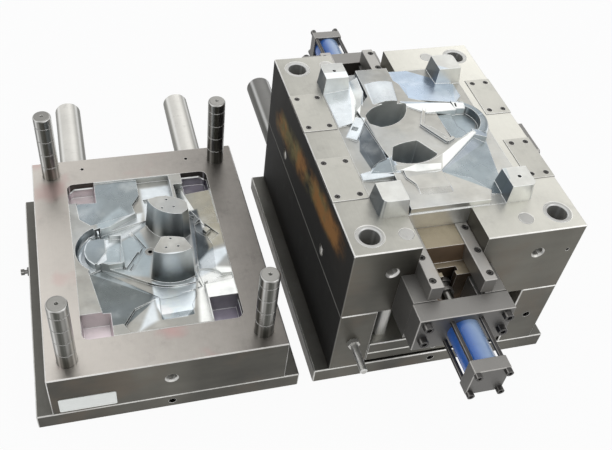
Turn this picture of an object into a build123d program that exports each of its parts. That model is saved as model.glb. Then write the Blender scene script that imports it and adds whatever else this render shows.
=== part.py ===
"""Injection mould for a vehicle body part, opened: core half at the origin, cavity half to its left.

Millimetres, +Z up, -Y towards the front slide. The origin is the mouth of the knock-out bore,
in the middle of the core half's underside.
"""
import os
from math import radians, tan
from build123d import *

# Mould base, the same plan for both halves
PLATE_W = 600
PLATE_L = 770
CLAMP_T = 50
CLAMP_OVERHANG = 40
SPACER_H = 230
EJECTOR_SPACE = 400
CORE_T = 230
CAVITY_T = 150
HALF_GAP = 42
EDGE_BREAK = 2.5

# Moulding inserts
INSERT_W = 410
INSERT_L = 560
INSERT_CORNER = 20
CORE_INSERT_T = 170
CAVITY_INSERT_T = 120
WALL_GAP = 3

# Corner interlocks on the core insert
LOCK_W = 75
LOCK_L = 77
LOCK_H = 50
LOCK_DRAFT = 6
LOCK_CLEARANCE = 2

# Lamp bowls in the core insert: middle, rim and floor
BOWL_DRAFT = 4
BOWL_CORNER = 7
REAR_BOWL_X = -61
REAR_BOWL_Y = 74
REAR_BOWL_W = 124
REAR_BOWL_L = 92
REAR_BOWL_DEPTH = 83
FRONT_BOWL_X = -49
FRONT_BOWL_Y = -80
FRONT_BOWL_W = 126
FRONT_BOWL_L = 82
FRONT_BOWL_DEPTH = 92

# Relief of the core's moulding face: heights over the parting face
LAND_H = 17
RIDGE_H = 25
BAR_H = 26
RING_H = 32
RING_ROUND = 12
RING_POCKET_H = 6
APRON_H = 21
RIB_H = 23
RIB_W = 9
TONGUE_H = 27
TONGUE_R = 110
LOW_H = 2
RELIEF_FOOT = 8
SUNK_X = (74, 150)
SUNK_Y = (-45, 90)

# Guiding of the two halves
GUIDE_D = 50
GUIDE_EDGE = 55
GUIDE_REACH = 222
GUIDE_HEAD_T = 12
GUIDE_HEAD_STEP = 5
BUSH_WALL = 10
BUSH_FLANGE_T = 12
RUNNING = 0.05
SEAM = 1.5

# Wear pads
PAD_NEAR = 54
PAD_L = 155
PAD_GAP_LEFT = 3
PAD_GAP_RIGHT = 20
PAD_T = 8
PAD_PROUD = 2
PAD_SCREW_INSET = 17

# Ejection
RETURN_D = 36
RETURN_INSET = 44
RETURN_EDGE = 48
STOP_T = 6
EJECTOR_T = 34
RETAINER_T = 40
EJECTOR_PIN_D = 12
PIN_SPREAD = 16
PIN_FRONT = 8
PIN_REAR = 22
EJECTOR_SCREW_D = 12
STOP_D = 30
EJECTOR_SIDE_GAP = 3
EJECTOR_END_GAP = 5
PILLAR_D = 50
PILLAR_X = 120
PILLAR_Y = 190
KNOCKOUT_D = 50

# Slide units, drawn for the front and mirrored to the rear
SLIDE_X = -48
SLIDE_W = 102
SLIDE_DROP = 52
SLIDE_TOP_L = 68
SLIDE_FOOT_L = 125
HEEL_RUN = 14
WING_W = 12
WING_T = 15
GIB_W = 33
GIB_T = 45
GIB_DROP = 50
GIB_SHORT = 2
GIB_SCREW_D = 10
CHANNEL_STEP = 20
ARM_W = 35
BRACKET_SCREW_D = 16
CROSS_T = 53
CROSS_H = 113
CROSS_SPARE = 2.5
SLIDE_STROKE = 50
STROKE_SPARE = 5
FREE = 0.3

# Hydraulic cylinders
ROD_DROP = 155
ROD_D = 30
SPIGOT_D = 20
CYL_BORE = 63
CYL_OD = 80
TUBE_L = 111
CAP_W = 90
CAP_T = 34
TIE_SPACING = 74
TIE_D = 12
PISTON_T = 28
COUPLING_D = 48
COUPLING_T = 12
COUPLING_NECK_D = 32
COUPLING_NECK_L = 14
COUPLING_COLLAR_D = 42
COUPLING_COLLAR_T = 10

# Support legs
LEG_D = 80
LEG_L = 330
LEG_SPIGOT_D = 24
LEG_SPIGOT_L = 30
CAVITY_LEG_X = 180

# Eyebolt holes and small fittings
EYE_R = 13.25
EYE_DEPTH = 60
EYE_SINK = 4
EYE_X = 192
SIDE_EYE_Y = 190
CLAMP_SCREW_D = 24
CLAMP_SCREW_Y = 240
CLAMP_SCREW_GRIP = 40
CAVITY_SCREW_D = 20
INSERT_SCREW_D = 16
INSERT_SCREW_X = 165
INSERT_SCREW_Y = 215
RING_D = 120
RING_T = 15
RING_SINK = 2
SPRUE_HEAD_D = 50
SPRUE_D = 28
VENT_D = 6
VENT_DEPTH = 10
LIFT_D = 10

# Safety strap on the right side of the core plate
STRAP_L = 120
STRAP_H = 45
STRAP_T = 15
STRAP_Y = -42
STRAP_DROP = 30
STRAP_SCREW_D = 12

# Fittings on the fronts and sides
PULL_ROD_D = 20
PULL_ROD_L = 95
PULL_ROD_SEAT = 25
PULL_ROD_NUT = 34
HANDLING_D = 20
HANDLING_DEPTH = 40
FITTING_Y = 120
FITTING_D = 12
NAMEPLATE_W = 141
NAMEPLATE_H = 55
NAMEPLATE_T = 1.5
NAMEPLATE_X = -210

# Levels and places that follow from the sizes above
Z_CORE = CLAMP_T + SPACER_H
Z_PART = Z_CORE + CORE_T
Z_CAVITY = CLAMP_T + CAVITY_T
HALF_PITCH = PLATE_W + 2 * CLAMP_OVERHANG + HALF_GAP
GUIDE_X = PLATE_W / 2 - GUIDE_EDGE
GUIDE_Y = PLATE_L / 2 - GUIDE_EDGE
SPACER_W = (PLATE_W - EJECTOR_SPACE) / 2
RETURN_X = EJECTOR_SPACE / 2 - RETURN_INSET
RETURN_Y = PLATE_L / 2 - RETURN_EDGE
PAD_W_LEFT = (PLATE_W - INSERT_W) / 2 - PAD_GAP_LEFT
PAD_W_RIGHT = (PLATE_W - INSERT_W) / 2 - PAD_GAP_RIGHT
SPACER_X = (PLATE_W - SPACER_W) / 2
Z_CORE_POCKET = Z_PART - CORE_INSERT_T
Z_CAVITY_POCKET = Z_CAVITY - CAVITY_INSERT_T
Z_EJECTOR = CLAMP_T + STOP_T
Z_RETAINER = Z_EJECTOR + EJECTOR_T
Z_RETAINER_TOP = Z_RETAINER + RETAINER_T
FACE_Y = -PLATE_L / 2
SLIDE_BACK_Y = -INSERT_L / 2
SLIDE_TOP = Z_PART - SLIDE_DROP
Z_GIB = Z_PART - GIB_DROP - GIB_T
Z_WING = Z_GIB - WING_T
Z_CHANNEL = Z_CORE + CHANNEL_STEP
Z_ROD = Z_PART - ROD_DROP
SLIDE_FACE_Y = SLIDE_BACK_Y - SLIDE_FOOT_L
CROSS_Y = SLIDE_FACE_Y - COUPLING_COLLAR_T - SLIDE_STROKE - STROKE_SPARE
GIB_Y = CROSS_Y + GIB_SHORT
TUBE_Y = CROSS_Y - CROSS_T
CAP_Y = TUBE_Y - TUBE_L
NOTCH_X = SLIDE_W / 2 + GIB_W
ARM_X = NOTCH_X + ARM_W
STRAP_Z = Z_PART - STRAP_DROP
LEG_Z = CLAMP_T + SPACER_H / 2
CAVITY_LEG_Z = CLAMP_T + CAVITY_T / 2


def block(x0, x1, y0, y1, z0, z1):
    """A rectangular block between two corners."""
    return Pos((x0 + x1) / 2, (y0 + y1) / 2, (z0 + z1) / 2) * Box(x1 - x0, y1 - y0, z1 - z0)


def plate(width, length, z0, z1):
    """A ground plate centred on its half, with all edges broken."""
    solid = block(-width / 2, width / 2, -length / 2, length / 2, z0, z1)
    return chamfer(solid.edges(), EDGE_BREAK)


def upright(x, y, z0, z1, diameter):
    """A round bar or hole along Z."""
    return Pos(x, y, (z0 + z1) / 2) * Cylinder(diameter / 2, z1 - z0)


def along_y(x, z, y0, y1, diameter):
    """A round bar or hole along Y."""
    return Pos(x, (y0 + y1) / 2, z) * Rot(90, 0, 0) * Cylinder(diameter / 2, abs(y1 - y0))


def along_x(y, z, x0, x1, diameter):
    """A round bar or hole along X."""
    return Pos((x0 + x1) / 2, y, z) * Rot(0, 90, 0) * Cylinder(diameter / 2, abs(x1 - x0))


def rounded(width, length, z0, z1, radius):
    """A block with rounded upright corners, as an insert or its pocket."""
    return Pos(0, 0, z0) * extrude(RectangleRounded(width, length, radius), z1 - z0)


def corners(x, y):
    """The four places of a rectangular pattern."""
    return [(sx * x, sy * y) for sy in (-1, 1) for sx in (-1, 1)]


def both_ends(shape):
    """A front shape with its mirror image at the rear."""
    return [shape, mirror(shape, about=Plane.XZ)]


def cap_screw(shank, length):
    """A socket head cap screw, head top at z 0 and shank down."""
    head = Pos(0, 0, -shank / 2) * Cylinder(shank * 0.75, shank)
    key = Pos(0, 0, -shank / 4 + 0.01) * extrude(RegularPolygon(shank * 0.45, 6), shank / 4, both=True)
    body = Pos(0, 0, -shank - length / 2) * Cylinder(shank / 2, length)
    return head + body - key


def half(shapes, x):
    """Shapes moved from their own half's frame to its place."""
    return [Pos(x, 0, 0) * shape for shape in shapes]


# Relief of the moulding, drawn for the core and flipped for the cavity

def rim(width, length, *runs):
    """A closed plan of lines of two points and arcs of three, in half widths and half lengths."""
    outline = Curve()
    for run in runs:
        points = [(x * width / 2, y * length / 2) for x, y in run]
        outline += Line(*points) if len(points) == 2 else ThreePointArc(*points)
    return make_face(outline)


def rear_rim():
    """The rear bowl's rim: a rounded back with a square right corner, and one long bow at the front."""
    return rim(REAR_BOWL_W, REAR_BOWL_L, [(-1, 0.1), (-0.45, 0.76), (0.45, 1)], [(0.45, 1), (1, 0.8)],
               [(1, 0.8), (0.55, -0.4), (-0.6, -1)], [(-0.6, -1), (-1, -0.6)], [(-1, -0.6), (-1, 0.1)])


def front_rim():
    """The front bowl's rim: a shield with its peak at the back and a bow along the ridge."""
    return rim(FRONT_BOWL_W, FRONT_BOWL_L, [(-0.68, 0.62), (-0.15, 0.9), (0.44, 1)], [(0.44, 1), (1, -0.42)],
               [(1, -0.42), (0.1, -1), (-1, -0.58)], [(-1, -0.58), (-0.68, 0.62)])


def bowl(plan, x, y, depth, grow):
    """The drafted hollow of a lamp bowl, or with a negative grow the boss that enters it."""
    sections = []
    for height in (BAR_H, -depth):
        reach = grow + height * tan(radians(BOWL_DRAFT))
        section = offset(plan, amount=reach, kind=Kind.INTERSECTION)
        section = fillet(section.vertices(), BOWL_CORNER + grow)
        sections.append(Pos(x, y, Z_PART + height) * section)
    return loft(sections, ruled=True)


def bowls(grow=0, short=0):
    """Both lamp bowls, from above the relief down to their floors."""
    rear = bowl(rear_rim(), REAR_BOWL_X, REAR_BOWL_Y, REAR_BOWL_DEPTH - short, grow)
    front = bowl(front_rim(), FRONT_BOWL_X, FRONT_BOWL_Y, FRONT_BOWL_DEPTH - short, grow)
    return [rear, front]


def interlock(sx, sy, grow=0):
    """A drafted corner block over its foot on the parting level, rounded at the insert's corner."""
    foot = Rectangle(LOCK_W + 2 * grow, LOCK_L + 2 * grow)
    corner = foot.vertices().group_by(Axis.X)[-1 if sx > 0 else 0].sort_by(Axis.Y)[-1 if sy > 0 else 0]
    foot = fillet(corner, INSERT_CORNER)
    x = sx * (INSERT_W - LOCK_W) / 2
    y = sy * (INSERT_L - LOCK_L) / 2
    return Pos(x, y, Z_PART) * extrude(foot, LOCK_H + grow, taper=LOCK_DRAFT)


def interlocks(grow=0):
    """The four corner interlocks on the parting level."""
    return [interlock(sx, sy, grow) for sx, sy in corners(1, 1)]


def lifting_holes():
    """Threaded lifting holes in the tops of two opposite interlocks."""
    x = (INSERT_W - LOCK_W) / 2
    y = (INSERT_L - LOCK_L) / 2
    top = Z_PART + LOCK_H
    return [upright(sx * x, -sx * y, top - 2 * LIFT_D, top, LIFT_D) for sx in (-1, 1)]


def column(outline):
    """A prism over a closed plan outline, from under the parting face to above all relief."""
    foot = Pos(0, 0, Z_PART - RELIEF_FOOT) * make_face(outline)
    return extrude(foot, RELIEF_FOOT + 2 * RING_H, dir=(0, 0, 1))


def below(solid, a, b, c):
    """What of a solid lies under the plane through three points, given as x, y and height."""
    first, second, third = [Vector(x, y, Z_PART + height) for x, y, height in (a, b, c)]
    normal = (second - first).cross(third - first)
    if normal.Z < 0:
        normal = -normal
    return split(solid, bisect_by=Plane(origin=first, z_dir=normal), keep=Keep.BOTTOM)


def flat(outline, height):
    """Relief with a level top."""
    return below(column(outline), (0, 0, height), (1, 0, height), (0, 1, height))


def facet(points, heights):
    """Relief under a sloping facet, with its first three corners at the given heights."""
    tops = [(x, y, height) for (x, y), height in zip(points, heights)]
    return below(column(Polyline(*points, close=True)), *tops)


def land():
    """The level land that carries the bowls, out to the platform at the front."""
    front = -INSERT_L / 2 + 3
    rear = INSERT_L / 2 - 3
    edge = [(-125, front), (86, front), (100, -247), (66, -195), (-2, -163), (138, -47), (150, 40),
            (118, 85), (20, 136), (28, 180), (4, rear - 60), (4, rear), (-90, rear), (-92, 158),
            (-140, 104), (-134, 40), (-122, -60), (-116, -92), (-125, -150)]
    return flat(Polyline(*edge, close=True), LAND_H)


def ridge():
    """The curved ridge round the front bowl and up to the ring, with the facet in front of it."""
    inner = Spline((-114, -125), (-62, -131), (-14, -124), (21, -107), (71, -74), (140, -33))
    outer = Polyline((140, -33), (144, -44), (-2, -163))
    tail = Spline((-2, -163), (-36, -166), (-68, -158), (-119, -144))
    close = Line((-119, -144), (-114, -125))
    crest = below(column(inner + outer + tail + close), (-119, -144, RIDGE_H - 4), (-2, -163, RIDGE_H),
                  (140, -33, RIDGE_H + 4))
    apex = (-2, -163)
    front_facet = facet([apex, (172, -56), (141, -249), (100, -247), (66, -195)], [LAND_H, LOW_H + 6, LOW_H])
    inner_facet = facet([apex, (138, -47), (172, -56)], [LAND_H, LAND_H, LOW_H + 6])
    return crest + front_facet + inner_facet


def ring():
    """The raised half ring at the right with its round shoulder, its pocket and the pad at its end."""
    outer = ThreePointArc((146, 96), (200, 22), (165, -56))
    inner = ThreePointArc((150, -34), (177, 22), (141, 76))
    band = outer + Line((165, -56), (150, -34)) + inner + Line((141, 76), (146, 96))
    half_ring = below(column(band), (146, 96, RING_H - 3), (200, 22, RING_H), (165, -56, RING_H - 6))
    shoulder = half_ring.edges().filter_by(GeomType.ELLIPSE).sort_by(SortBy.LENGTH)[-1]
    half_ring = fillet(shoulder, RING_ROUND)
    pocket = Line((150, -34), (118, 10)) + Line((118, 10), (118, 60)) + Line((118, 60), (141, 76))
    floor = flat(pocket + ThreePointArc((141, 76), (177, 22), (150, -34)), RING_POCKET_H)
    end_pad = facet([(136, -30), (172, -46), (166, -64), (132, -48)], [RIDGE_H + 6, RIDGE_H + 5, RIDGE_H + 2])
    return half_ring, floor, end_pad


def bar():
    """The bright bar between the rear bowl and the ring, with the clip seat at its end."""
    body = facet([(-12, 122), (124, 88), (130, 58), (46, 62), (2, 98)], [BAR_H - 6, BAR_H, BAR_H - 1])
    seat = facet([(126, 94), (160, 84), (156, 58), (128, 62)], [BAR_H + 3, BAR_H + 3, BAR_H + 1])
    slot = column(Polyline((132, 84), (137, 83), (135, 68), (131, 69), close=True))
    return body + (seat - slot)


def rib(start, end):
    """A low straight rib on the land between two points in plan."""
    run = Vector(*end) - Vector(*start)
    across = Vector(-run.Y, run.X).normalized() * (RIB_W / 2)
    points = [Vector(*start) + across, Vector(*start) - across, Vector(*end) - across, Vector(*end) + across]
    return facet([(p.X, p.Y) for p in points], [RIB_H, RIB_H, RIB_H])


def ribs():
    """The angled rib and the stop block between the bowls and the ring."""
    angled = rib((46, 84), (14, 16)) + rib((13, 20), (58, -58))
    return angled + rib((30, 2), (66, -50)) + rib((58, -58), (80, -46))


def grey_facet():
    """The sunk sloping facet between the ribs and the ring's pocket."""
    points = [(74, 56), (118, 60), (118, 10), (150, -34), (84, -40)]
    return facet(points, [LAND_H - 4, LAND_H - 7, LAND_H - 9])


def apron():
    """The raised pad in front of the ridge, with a bevel along its front."""
    points = [(-2, -160), (2, -238), (-84, -234), (-84, -199), (-100, -172), (-100, -150)]
    outline = FilletPolyline(*points, radius=5)
    pad = column(outline + Line(points[-1], points[0]))
    pad = below(pad, (-2, -160, APRON_H + 2), (-92, -150, APRON_H + 2), (-92, -233, APRON_H - 1))
    return below(pad, (2, -238, LAND_H), (-84, -234, LAND_H), (-41, -216, APRON_H))


def rear_facets():
    """Two sloping facets at the rear right, creased where they meet."""
    rear = INSERT_L / 2 - 3
    near = facet([(20, 136), (150, 106), (68, rear), (4, rear), (4, rear - 60), (28, 180)],
                 [LAND_H - 5, LAND_H - 6, LOW_H])
    far = facet([(150, 106), (68, rear), (184, 196), (180, 136)], [LAND_H - 6, LOW_H, LOW_H])
    corner = facet([(184, 196), (68, rear), (128, rear)], [LOW_H, LOW_H, LOW_H])
    return near + far + corner


def left_facets():
    """The bright slope at the rear left, its steep strip with a foot, and the dark wedge before it."""
    side = -INSERT_W / 2 + 2
    slope = facet([(side, 60), (side, 236), (-118, 236), (-128, 150), (-158, 66)], [LOW_H, LOW_H, LAND_H - 5])
    strip = facet([(-120, 236), (-100, 236), (-103, 168), (-130, 84), (-150, 52), (-166, 60), (-128, 150)],
                  [LAND_H - 4, LAND_H + 8, LAND_H + 8])
    foot = facet([(-196, 18), (-150, 84), (-126, 70), (-150, 30), (-172, -2)],
                 [LOW_H, LAND_H - 6, LAND_H - 2])
    notch = column(Polyline((-176, 40), (-166, 52), (-154, 42), (-163, 30), close=True))
    wedge = facet([(-160, 16), (-128, 66), (-120, -96), (-168, -118), (-178, -40)],
                  [LOW_H, LAND_H - 3, LAND_H - 5])
    return slope + strip + (foot - notch) + wedge


def front_arm():
    """The low lip from the front left edge and the dished end of the ridge behind it."""
    side = -INSERT_W / 2 + 2
    lip = facet([(side, -126), (-172, -124), (-114, -156), (-176, -152), (side, -148)],
                [LOW_H + 2, LAND_H - 8, LAND_H - 1])
    dish = ThreePointArc((-180, -133), (-152, -101), (-106, -90)) + Line((-106, -90), (-106, -152))
    dish = column(dish + Line((-106, -152), (-180, -133)))
    dish = below(dish, (-180, -133, LOW_H + 4), (-106, -90, LAND_H + 1), (-106, -152, LAND_H + 3))
    return lip + dish


def rear_tongue():
    """The crowned tongue that runs from the rear platform down to the rear bowl."""
    plan = column(Polyline((-90, 122), (-86, 214), (-6, 204), (-20, 118), close=True))
    axis = Plane(origin=(-50, 0, Z_PART + TONGUE_H - TONGUE_R), x_dir=(1, 0, 0), z_dir=(0.08, 1, 0))
    return plan & (axis * Cylinder(TONGUE_R, INSERT_L))


def raised_form():
    """All that stands above the parting level between the interlocks: the inside of the moulding."""
    half_ring, pocket, end_pad = ring()
    sunk = grey_facet()
    plan = land() - block(*SUNK_X, *SUNK_Y, Z_PART - 2 * RELIEF_FOOT, Z_PART + 2 * RING_H)
    return plan + pocket + sunk + half_ring + end_pad + ridge() + bar() + ribs() + apron() + rear_facets() \
        + left_facets() + front_arm() + rear_tongue()


# Core half

def core_clamp_plate():
    solid = plate(PLATE_W + 2 * CLAMP_OVERHANG, PLATE_L, 0, CLAMP_T)
    solid -= upright(0, 0, 0, CLAMP_T, KNOCKOUT_D)
    for x in (-SPACER_X, SPACER_X):
        for y in (-CLAMP_SCREW_Y, 0, CLAMP_SCREW_Y):
            solid -= upright(x, y, 0, CLAMP_T, CLAMP_SCREW_D + 2)
            solid -= upright(x, y, 0, CLAMP_SCREW_D + 2, CLAMP_SCREW_D * 1.5 + 4)
    solid -= along_y(0, CLAMP_T / 2, FACE_Y, FACE_Y + HANDLING_DEPTH, HANDLING_D)
    return solid


def core_clamp_screws():
    length = Z_CORE + CLAMP_SCREW_GRIP - 2 - CLAMP_SCREW_D
    screw = Rot(180, 0, 0) * cap_screw(CLAMP_SCREW_D, length)
    return [Pos(x, y, 2) * screw for x in (-SPACER_X, SPACER_X) for y in (-CLAMP_SCREW_Y, 0, CLAMP_SCREW_Y)]


def spacer_block(side):
    solid = block(-SPACER_W / 2, SPACER_W / 2, -PLATE_L / 2, PLATE_L / 2, CLAMP_T, Z_CORE)
    solid = Pos(side * SPACER_X, 0, 0) * chamfer(solid.edges(), EDGE_BREAK)
    for y in (-CLAMP_SCREW_Y, 0, CLAMP_SCREW_Y):
        solid -= upright(side * SPACER_X, y, CLAMP_T, Z_CORE, CLAMP_SCREW_D + 2)
    solid -= along_y(side * SPACER_X, LEG_Z, PLATE_L / 2 - LEG_SPIGOT_L, PLATE_L / 2, LEG_SPIGOT_D)
    if side < 0:
        return solid - along_y(-SPACER_X, LEG_Z, FACE_Y, FACE_Y + PULL_ROD_SEAT, PULL_ROD_D)
    return solid - along_y(SPACER_X, LEG_Z, FACE_Y, FACE_Y + HANDLING_DEPTH, HANDLING_D)


def pull_rod():
    """A round rod screwed into the front of the left spacer, with its lock nut."""
    rod = along_y(-SPACER_X, LEG_Z, FACE_Y - PULL_ROD_L, FACE_Y + PULL_ROD_SEAT, PULL_ROD_D)
    nut = Pos(-SPACER_X, FACE_Y, LEG_Z) * Rot(90, 0, 0) * extrude(RegularPolygon(PULL_ROD_NUT / 2, 6), 12)
    return chamfer(rod.edges().sort_by(Axis.Y)[0], 3) + nut


def core_legs():
    return [Pos(side * SPACER_X, PLATE_L / 2, LEG_Z) * leg() for side in (-1, 1)]


def leg():
    """A round support leg along +Y with its spigot at the root."""
    bar = along_y(0, 0, 0, LEG_L, LEG_D)
    bar = chamfer(bar.edges().group_by(Axis.Y)[-1], 6)
    return bar + along_y(0, 0, -LEG_SPIGOT_L, 0, LEG_SPIGOT_D)


def slide_channel():
    """The stepped channel of the front slide, through the plate's front wall."""
    wide = block(-NOTCH_X, NOTCH_X, FACE_Y, SLIDE_BACK_Y, Z_GIB, Z_PART)
    wings = block(-SLIDE_W / 2 - WING_W, SLIDE_W / 2 + WING_W, FACE_Y, SLIDE_BACK_Y, Z_WING, Z_GIB)
    deep = block(-SLIDE_W / 2, SLIDE_W / 2, FACE_Y, SLIDE_BACK_Y, Z_CHANNEL, Z_WING)
    return Pos(SLIDE_X, 0, 0) * (wide + wings + deep)


def pad_places():
    """Centre and width of each wear pad."""
    y = PAD_NEAR + PAD_L / 2
    left = (-PLATE_W / 2 + PAD_W_LEFT / 2, PAD_W_LEFT)
    right = (PLATE_W / 2 - PAD_W_RIGHT / 2, PAD_W_RIGHT)
    return [(x, sy * y, width) for x, width in (left, right) for sy in (-1, 1)]


def pad_screw_places(x, y, width):
    dx = width / 2 - PAD_SCREW_INSET
    dy = PAD_L / 2 - PAD_SCREW_INSET
    return [(x + sx * dx, y + sy * dy) for sx in (-1, 1) for sy in (-1, 1)]


def ejector_pin_places():
    """Place and top level of each ejector pin."""
    pins = []
    rear = (REAR_BOWL_X, REAR_BOWL_Y, REAR_BOWL_DEPTH)
    front = (FRONT_BOWL_X, FRONT_BOWL_Y, FRONT_BOWL_DEPTH)
    for x, y, depth in (rear, front):
        for dx, dy in ((-PIN_SPREAD, -PIN_FRONT), (PIN_SPREAD, -PIN_FRONT), (0, PIN_REAR)):
            pins.append((x + dx, y + dy, Z_PART - depth))
    return pins


def seam(x, y, radius):
    """The broken edge of an upright hole in the core half's parting face."""
    return Pos(x, y, Z_PART - SEAM / 2) * Cone(radius, radius + SEAM, SEAM)


def eyebolt_hole():
    """A threaded hole with its countersink, from a face at y 0 into +Y."""
    sink = Pos(0, EYE_SINK / 2, 0) * Rot(90, 0, 0) * Cone(EYE_R, EYE_R + EYE_SINK, EYE_SINK)
    return along_y(0, 0, 0, EYE_DEPTH, 2 * EYE_R) + sink


def core_plate():
    solid = plate(PLATE_W, PLATE_L, Z_CORE, Z_PART)
    solid -= rounded(INSERT_W, INSERT_L, Z_CORE_POCKET, Z_PART, INSERT_CORNER)
    for channel in both_ends(slide_channel()):
        solid -= channel
    for x, y in corners(GUIDE_X, GUIDE_Y):
        solid -= upright(x, y, Z_CORE, Z_PART, GUIDE_D + 2 * BUSH_WALL)
        solid -= upright(x, y, Z_CORE, Z_CORE + BUSH_FLANGE_T, GUIDE_D + 2 * BUSH_WALL + 10)
        solid -= seam(x, y, GUIDE_D / 2 + BUSH_WALL)
    for x, y in corners(RETURN_X, RETURN_Y):
        solid -= upright(x, y, Z_CORE, Z_PART, RETURN_D + 2 * RUNNING)
        solid -= seam(x, y, RETURN_D / 2)
    for x, y, top in ejector_pin_places():
        solid -= upright(x, y, Z_CORE, Z_CORE_POCKET, EJECTOR_PIN_D + 1)
    for x, y, width in pad_places():
        z = Z_PART - PAD_T + PAD_PROUD
        solid -= block(x - width / 2, x + width / 2, y - PAD_L / 2, y + PAD_L / 2, z, Z_PART)
        for sx, sy in pad_screw_places(x, y, width):
            solid -= upright(sx, sy, z - 16, z, 8)
    for x in (-SPACER_X, SPACER_X):
        for y in (-CLAMP_SCREW_Y, 0, CLAMP_SCREW_Y):
            solid -= upright(x, y, Z_CORE, Z_CORE + CLAMP_SCREW_GRIP + 2, CLAMP_SCREW_D)
    for x, y in corners(INSERT_SCREW_X, INSERT_SCREW_Y):
        solid -= upright(x, y, Z_CORE, Z_CORE_POCKET, INSERT_SCREW_D + 1)
        solid -= upright(x, y, Z_CORE, Z_CORE + INSERT_SCREW_D + 2, INSERT_SCREW_D * 1.5 + 2)
    for x in (-EYE_X, EYE_X):
        for hole in both_ends(Pos(x, FACE_Y, Z_PART - 80) * eyebolt_hole()):
            solid -= hole
    for side in (-1, 1):
        for y in (-SIDE_EYE_Y, SIDE_EYE_Y):
            solid -= Pos(side * PLATE_W / 2, y, Z_CORE + 38) * Rot(0, 0, side * 90) * eyebolt_hole()
    for screw_hole in bracket_screw_holes():
        for hole in both_ends(screw_hole):
            solid -= hole
    for screw_hole in gib_screw_holes():
        for hole in both_ends(screw_hole):
            solid -= hole
    solid -= along_y(SPACER_X + 25, Z_PART - 83, FACE_Y, FACE_Y + 20, 10)
    for y in strap_screw_places():
        solid -= along_x(y, STRAP_Z, PLATE_W / 2 - 25, PLATE_W / 2, STRAP_SCREW_D)
    return solid


def strap_screw_places():
    return [STRAP_Y - STRAP_L / 3, STRAP_Y + STRAP_L / 3]


def safety_strap():
    x = PLATE_W / 2
    bar = block(x, x + STRAP_T, STRAP_Y - STRAP_L / 2, STRAP_Y + STRAP_L / 2, STRAP_Z - STRAP_H / 2,
                STRAP_Z + STRAP_H / 2)
    bar = chamfer(bar.edges().filter_by(Axis.X), 6)
    for y in strap_screw_places():
        bar -= along_x(y, STRAP_Z, x, x + STRAP_T, STRAP_SCREW_D + 1)
    return bar


def strap_screws():
    screw = Rot(0, 90, 0) * cap_screw(STRAP_SCREW_D, STRAP_T + 20)
    x = PLATE_W / 2 + STRAP_T + STRAP_SCREW_D
    return [Pos(x, y, STRAP_Z) * screw for y in strap_screw_places()]


def core_insert():
    solid = rounded(INSERT_W, INSERT_L, Z_CORE_POCKET, Z_PART, INSERT_CORNER)
    solid += raised_form()
    for lock in interlocks():
        solid += lock
    for hollow in bowls() + lifting_holes():
        solid -= hollow
    solid = solid & rounded(INSERT_W, INSERT_L, Z_CORE_POCKET, Z_PART + LOCK_H, INSERT_CORNER)
    for x, y, top in ejector_pin_places():
        solid -= upright(x, y, Z_CORE_POCKET, top, EJECTOR_PIN_D + 2 * RUNNING)
    for x, y in corners(INSERT_SCREW_X, INSERT_SCREW_Y):
        solid -= upright(x, y, Z_CORE_POCKET, Z_CORE_POCKET + 34, INSERT_SCREW_D)
    return solid


def core_insert_screws():
    length = Z_CORE_POCKET - Z_CORE - 2 + 30 - INSERT_SCREW_D
    screw = Rot(180, 0, 0) * cap_screw(INSERT_SCREW_D, length)
    return [Pos(x, y, Z_CORE + 2) * screw for x, y in corners(INSERT_SCREW_X, INSERT_SCREW_Y)]


def guide_bush():
    """A guide bush standing on its flange at z 0."""
    outer = GUIDE_D / 2 + BUSH_WALL
    bore = GUIDE_D / 2 + RUNNING
    section = Polyline((bore, 0), (outer + 5, 0), (outer + 5, BUSH_FLANGE_T), (outer, BUSH_FLANGE_T),
                       (outer, CORE_T - SEAM), (outer - SEAM, CORE_T), (bore + 3, CORE_T),
                       (bore, CORE_T - 3), close=True)
    return revolve(make_face(Plane.XZ * section), Axis.Z)


def guide_bushes():
    return [Pos(x, y, Z_CORE) * guide_bush() for x, y in corners(GUIDE_X, GUIDE_Y)]


def wear_pads(side):
    pads = []
    for x, y, width in pad_places():
        if x * side > 0:
            pad = block(x - width / 2, x + width / 2, y - PAD_L / 2, y + PAD_L / 2,
                        Z_PART - PAD_T + PAD_PROUD, Z_PART + PAD_PROUD)
            pad = chamfer(pad.edges().group_by(Axis.Z)[-1], 1)
            for sx, sy in pad_screw_places(x, y, width):
                pad -= upright(sx, sy, Z_PART - PAD_T, Z_PART + PAD_PROUD, 9)
                pad -= Pos(sx, sy, Z_PART + PAD_PROUD - 2.25) * Cone(4.5, 8, 4.5)
            pads.append(pad)
    return pads


def pad_screw():
    """A countersunk screw with its face at z 0."""
    head = Pos(0, 0, -2.25) * Cone(4, 7.5, 4.5)
    shank = Pos(0, 0, -12) * Cylinder(4, 16)
    key = Pos(0, 0, -1.5) * extrude(RegularPolygon(3.2, 6), 2, both=True)
    return head + shank - key


def wear_pad_screws():
    places = [spot for x, y, width in pad_places() for spot in pad_screw_places(x, y, width)]
    return [Pos(x, y, Z_PART + PAD_PROUD - 0.3) * pad_screw() for x, y in places]


def support_pillars():
    return [upright(x, y, CLAMP_T, Z_CORE, PILLAR_D) for x, y in corners(PILLAR_X, PILLAR_Y)]


def stop_buttons():
    places = corners(RETURN_X, RETURN_Y - 2 * STOP_D) + [(-RETURN_X, 0), (RETURN_X, 0)]
    return [upright(x, y, CLAMP_T, Z_EJECTOR, STOP_D) for x, y in places]


# Ejector set

def ejector_base(z0, z1):
    width = EJECTOR_SPACE - 2 * EJECTOR_SIDE_GAP
    solid = plate(width, PLATE_L - 2 * EJECTOR_END_GAP, z0, z1)
    for x, y in corners(PILLAR_X, PILLAR_Y):
        solid -= upright(x, y, z0, z1, PILLAR_D + 4)
    return solid


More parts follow.
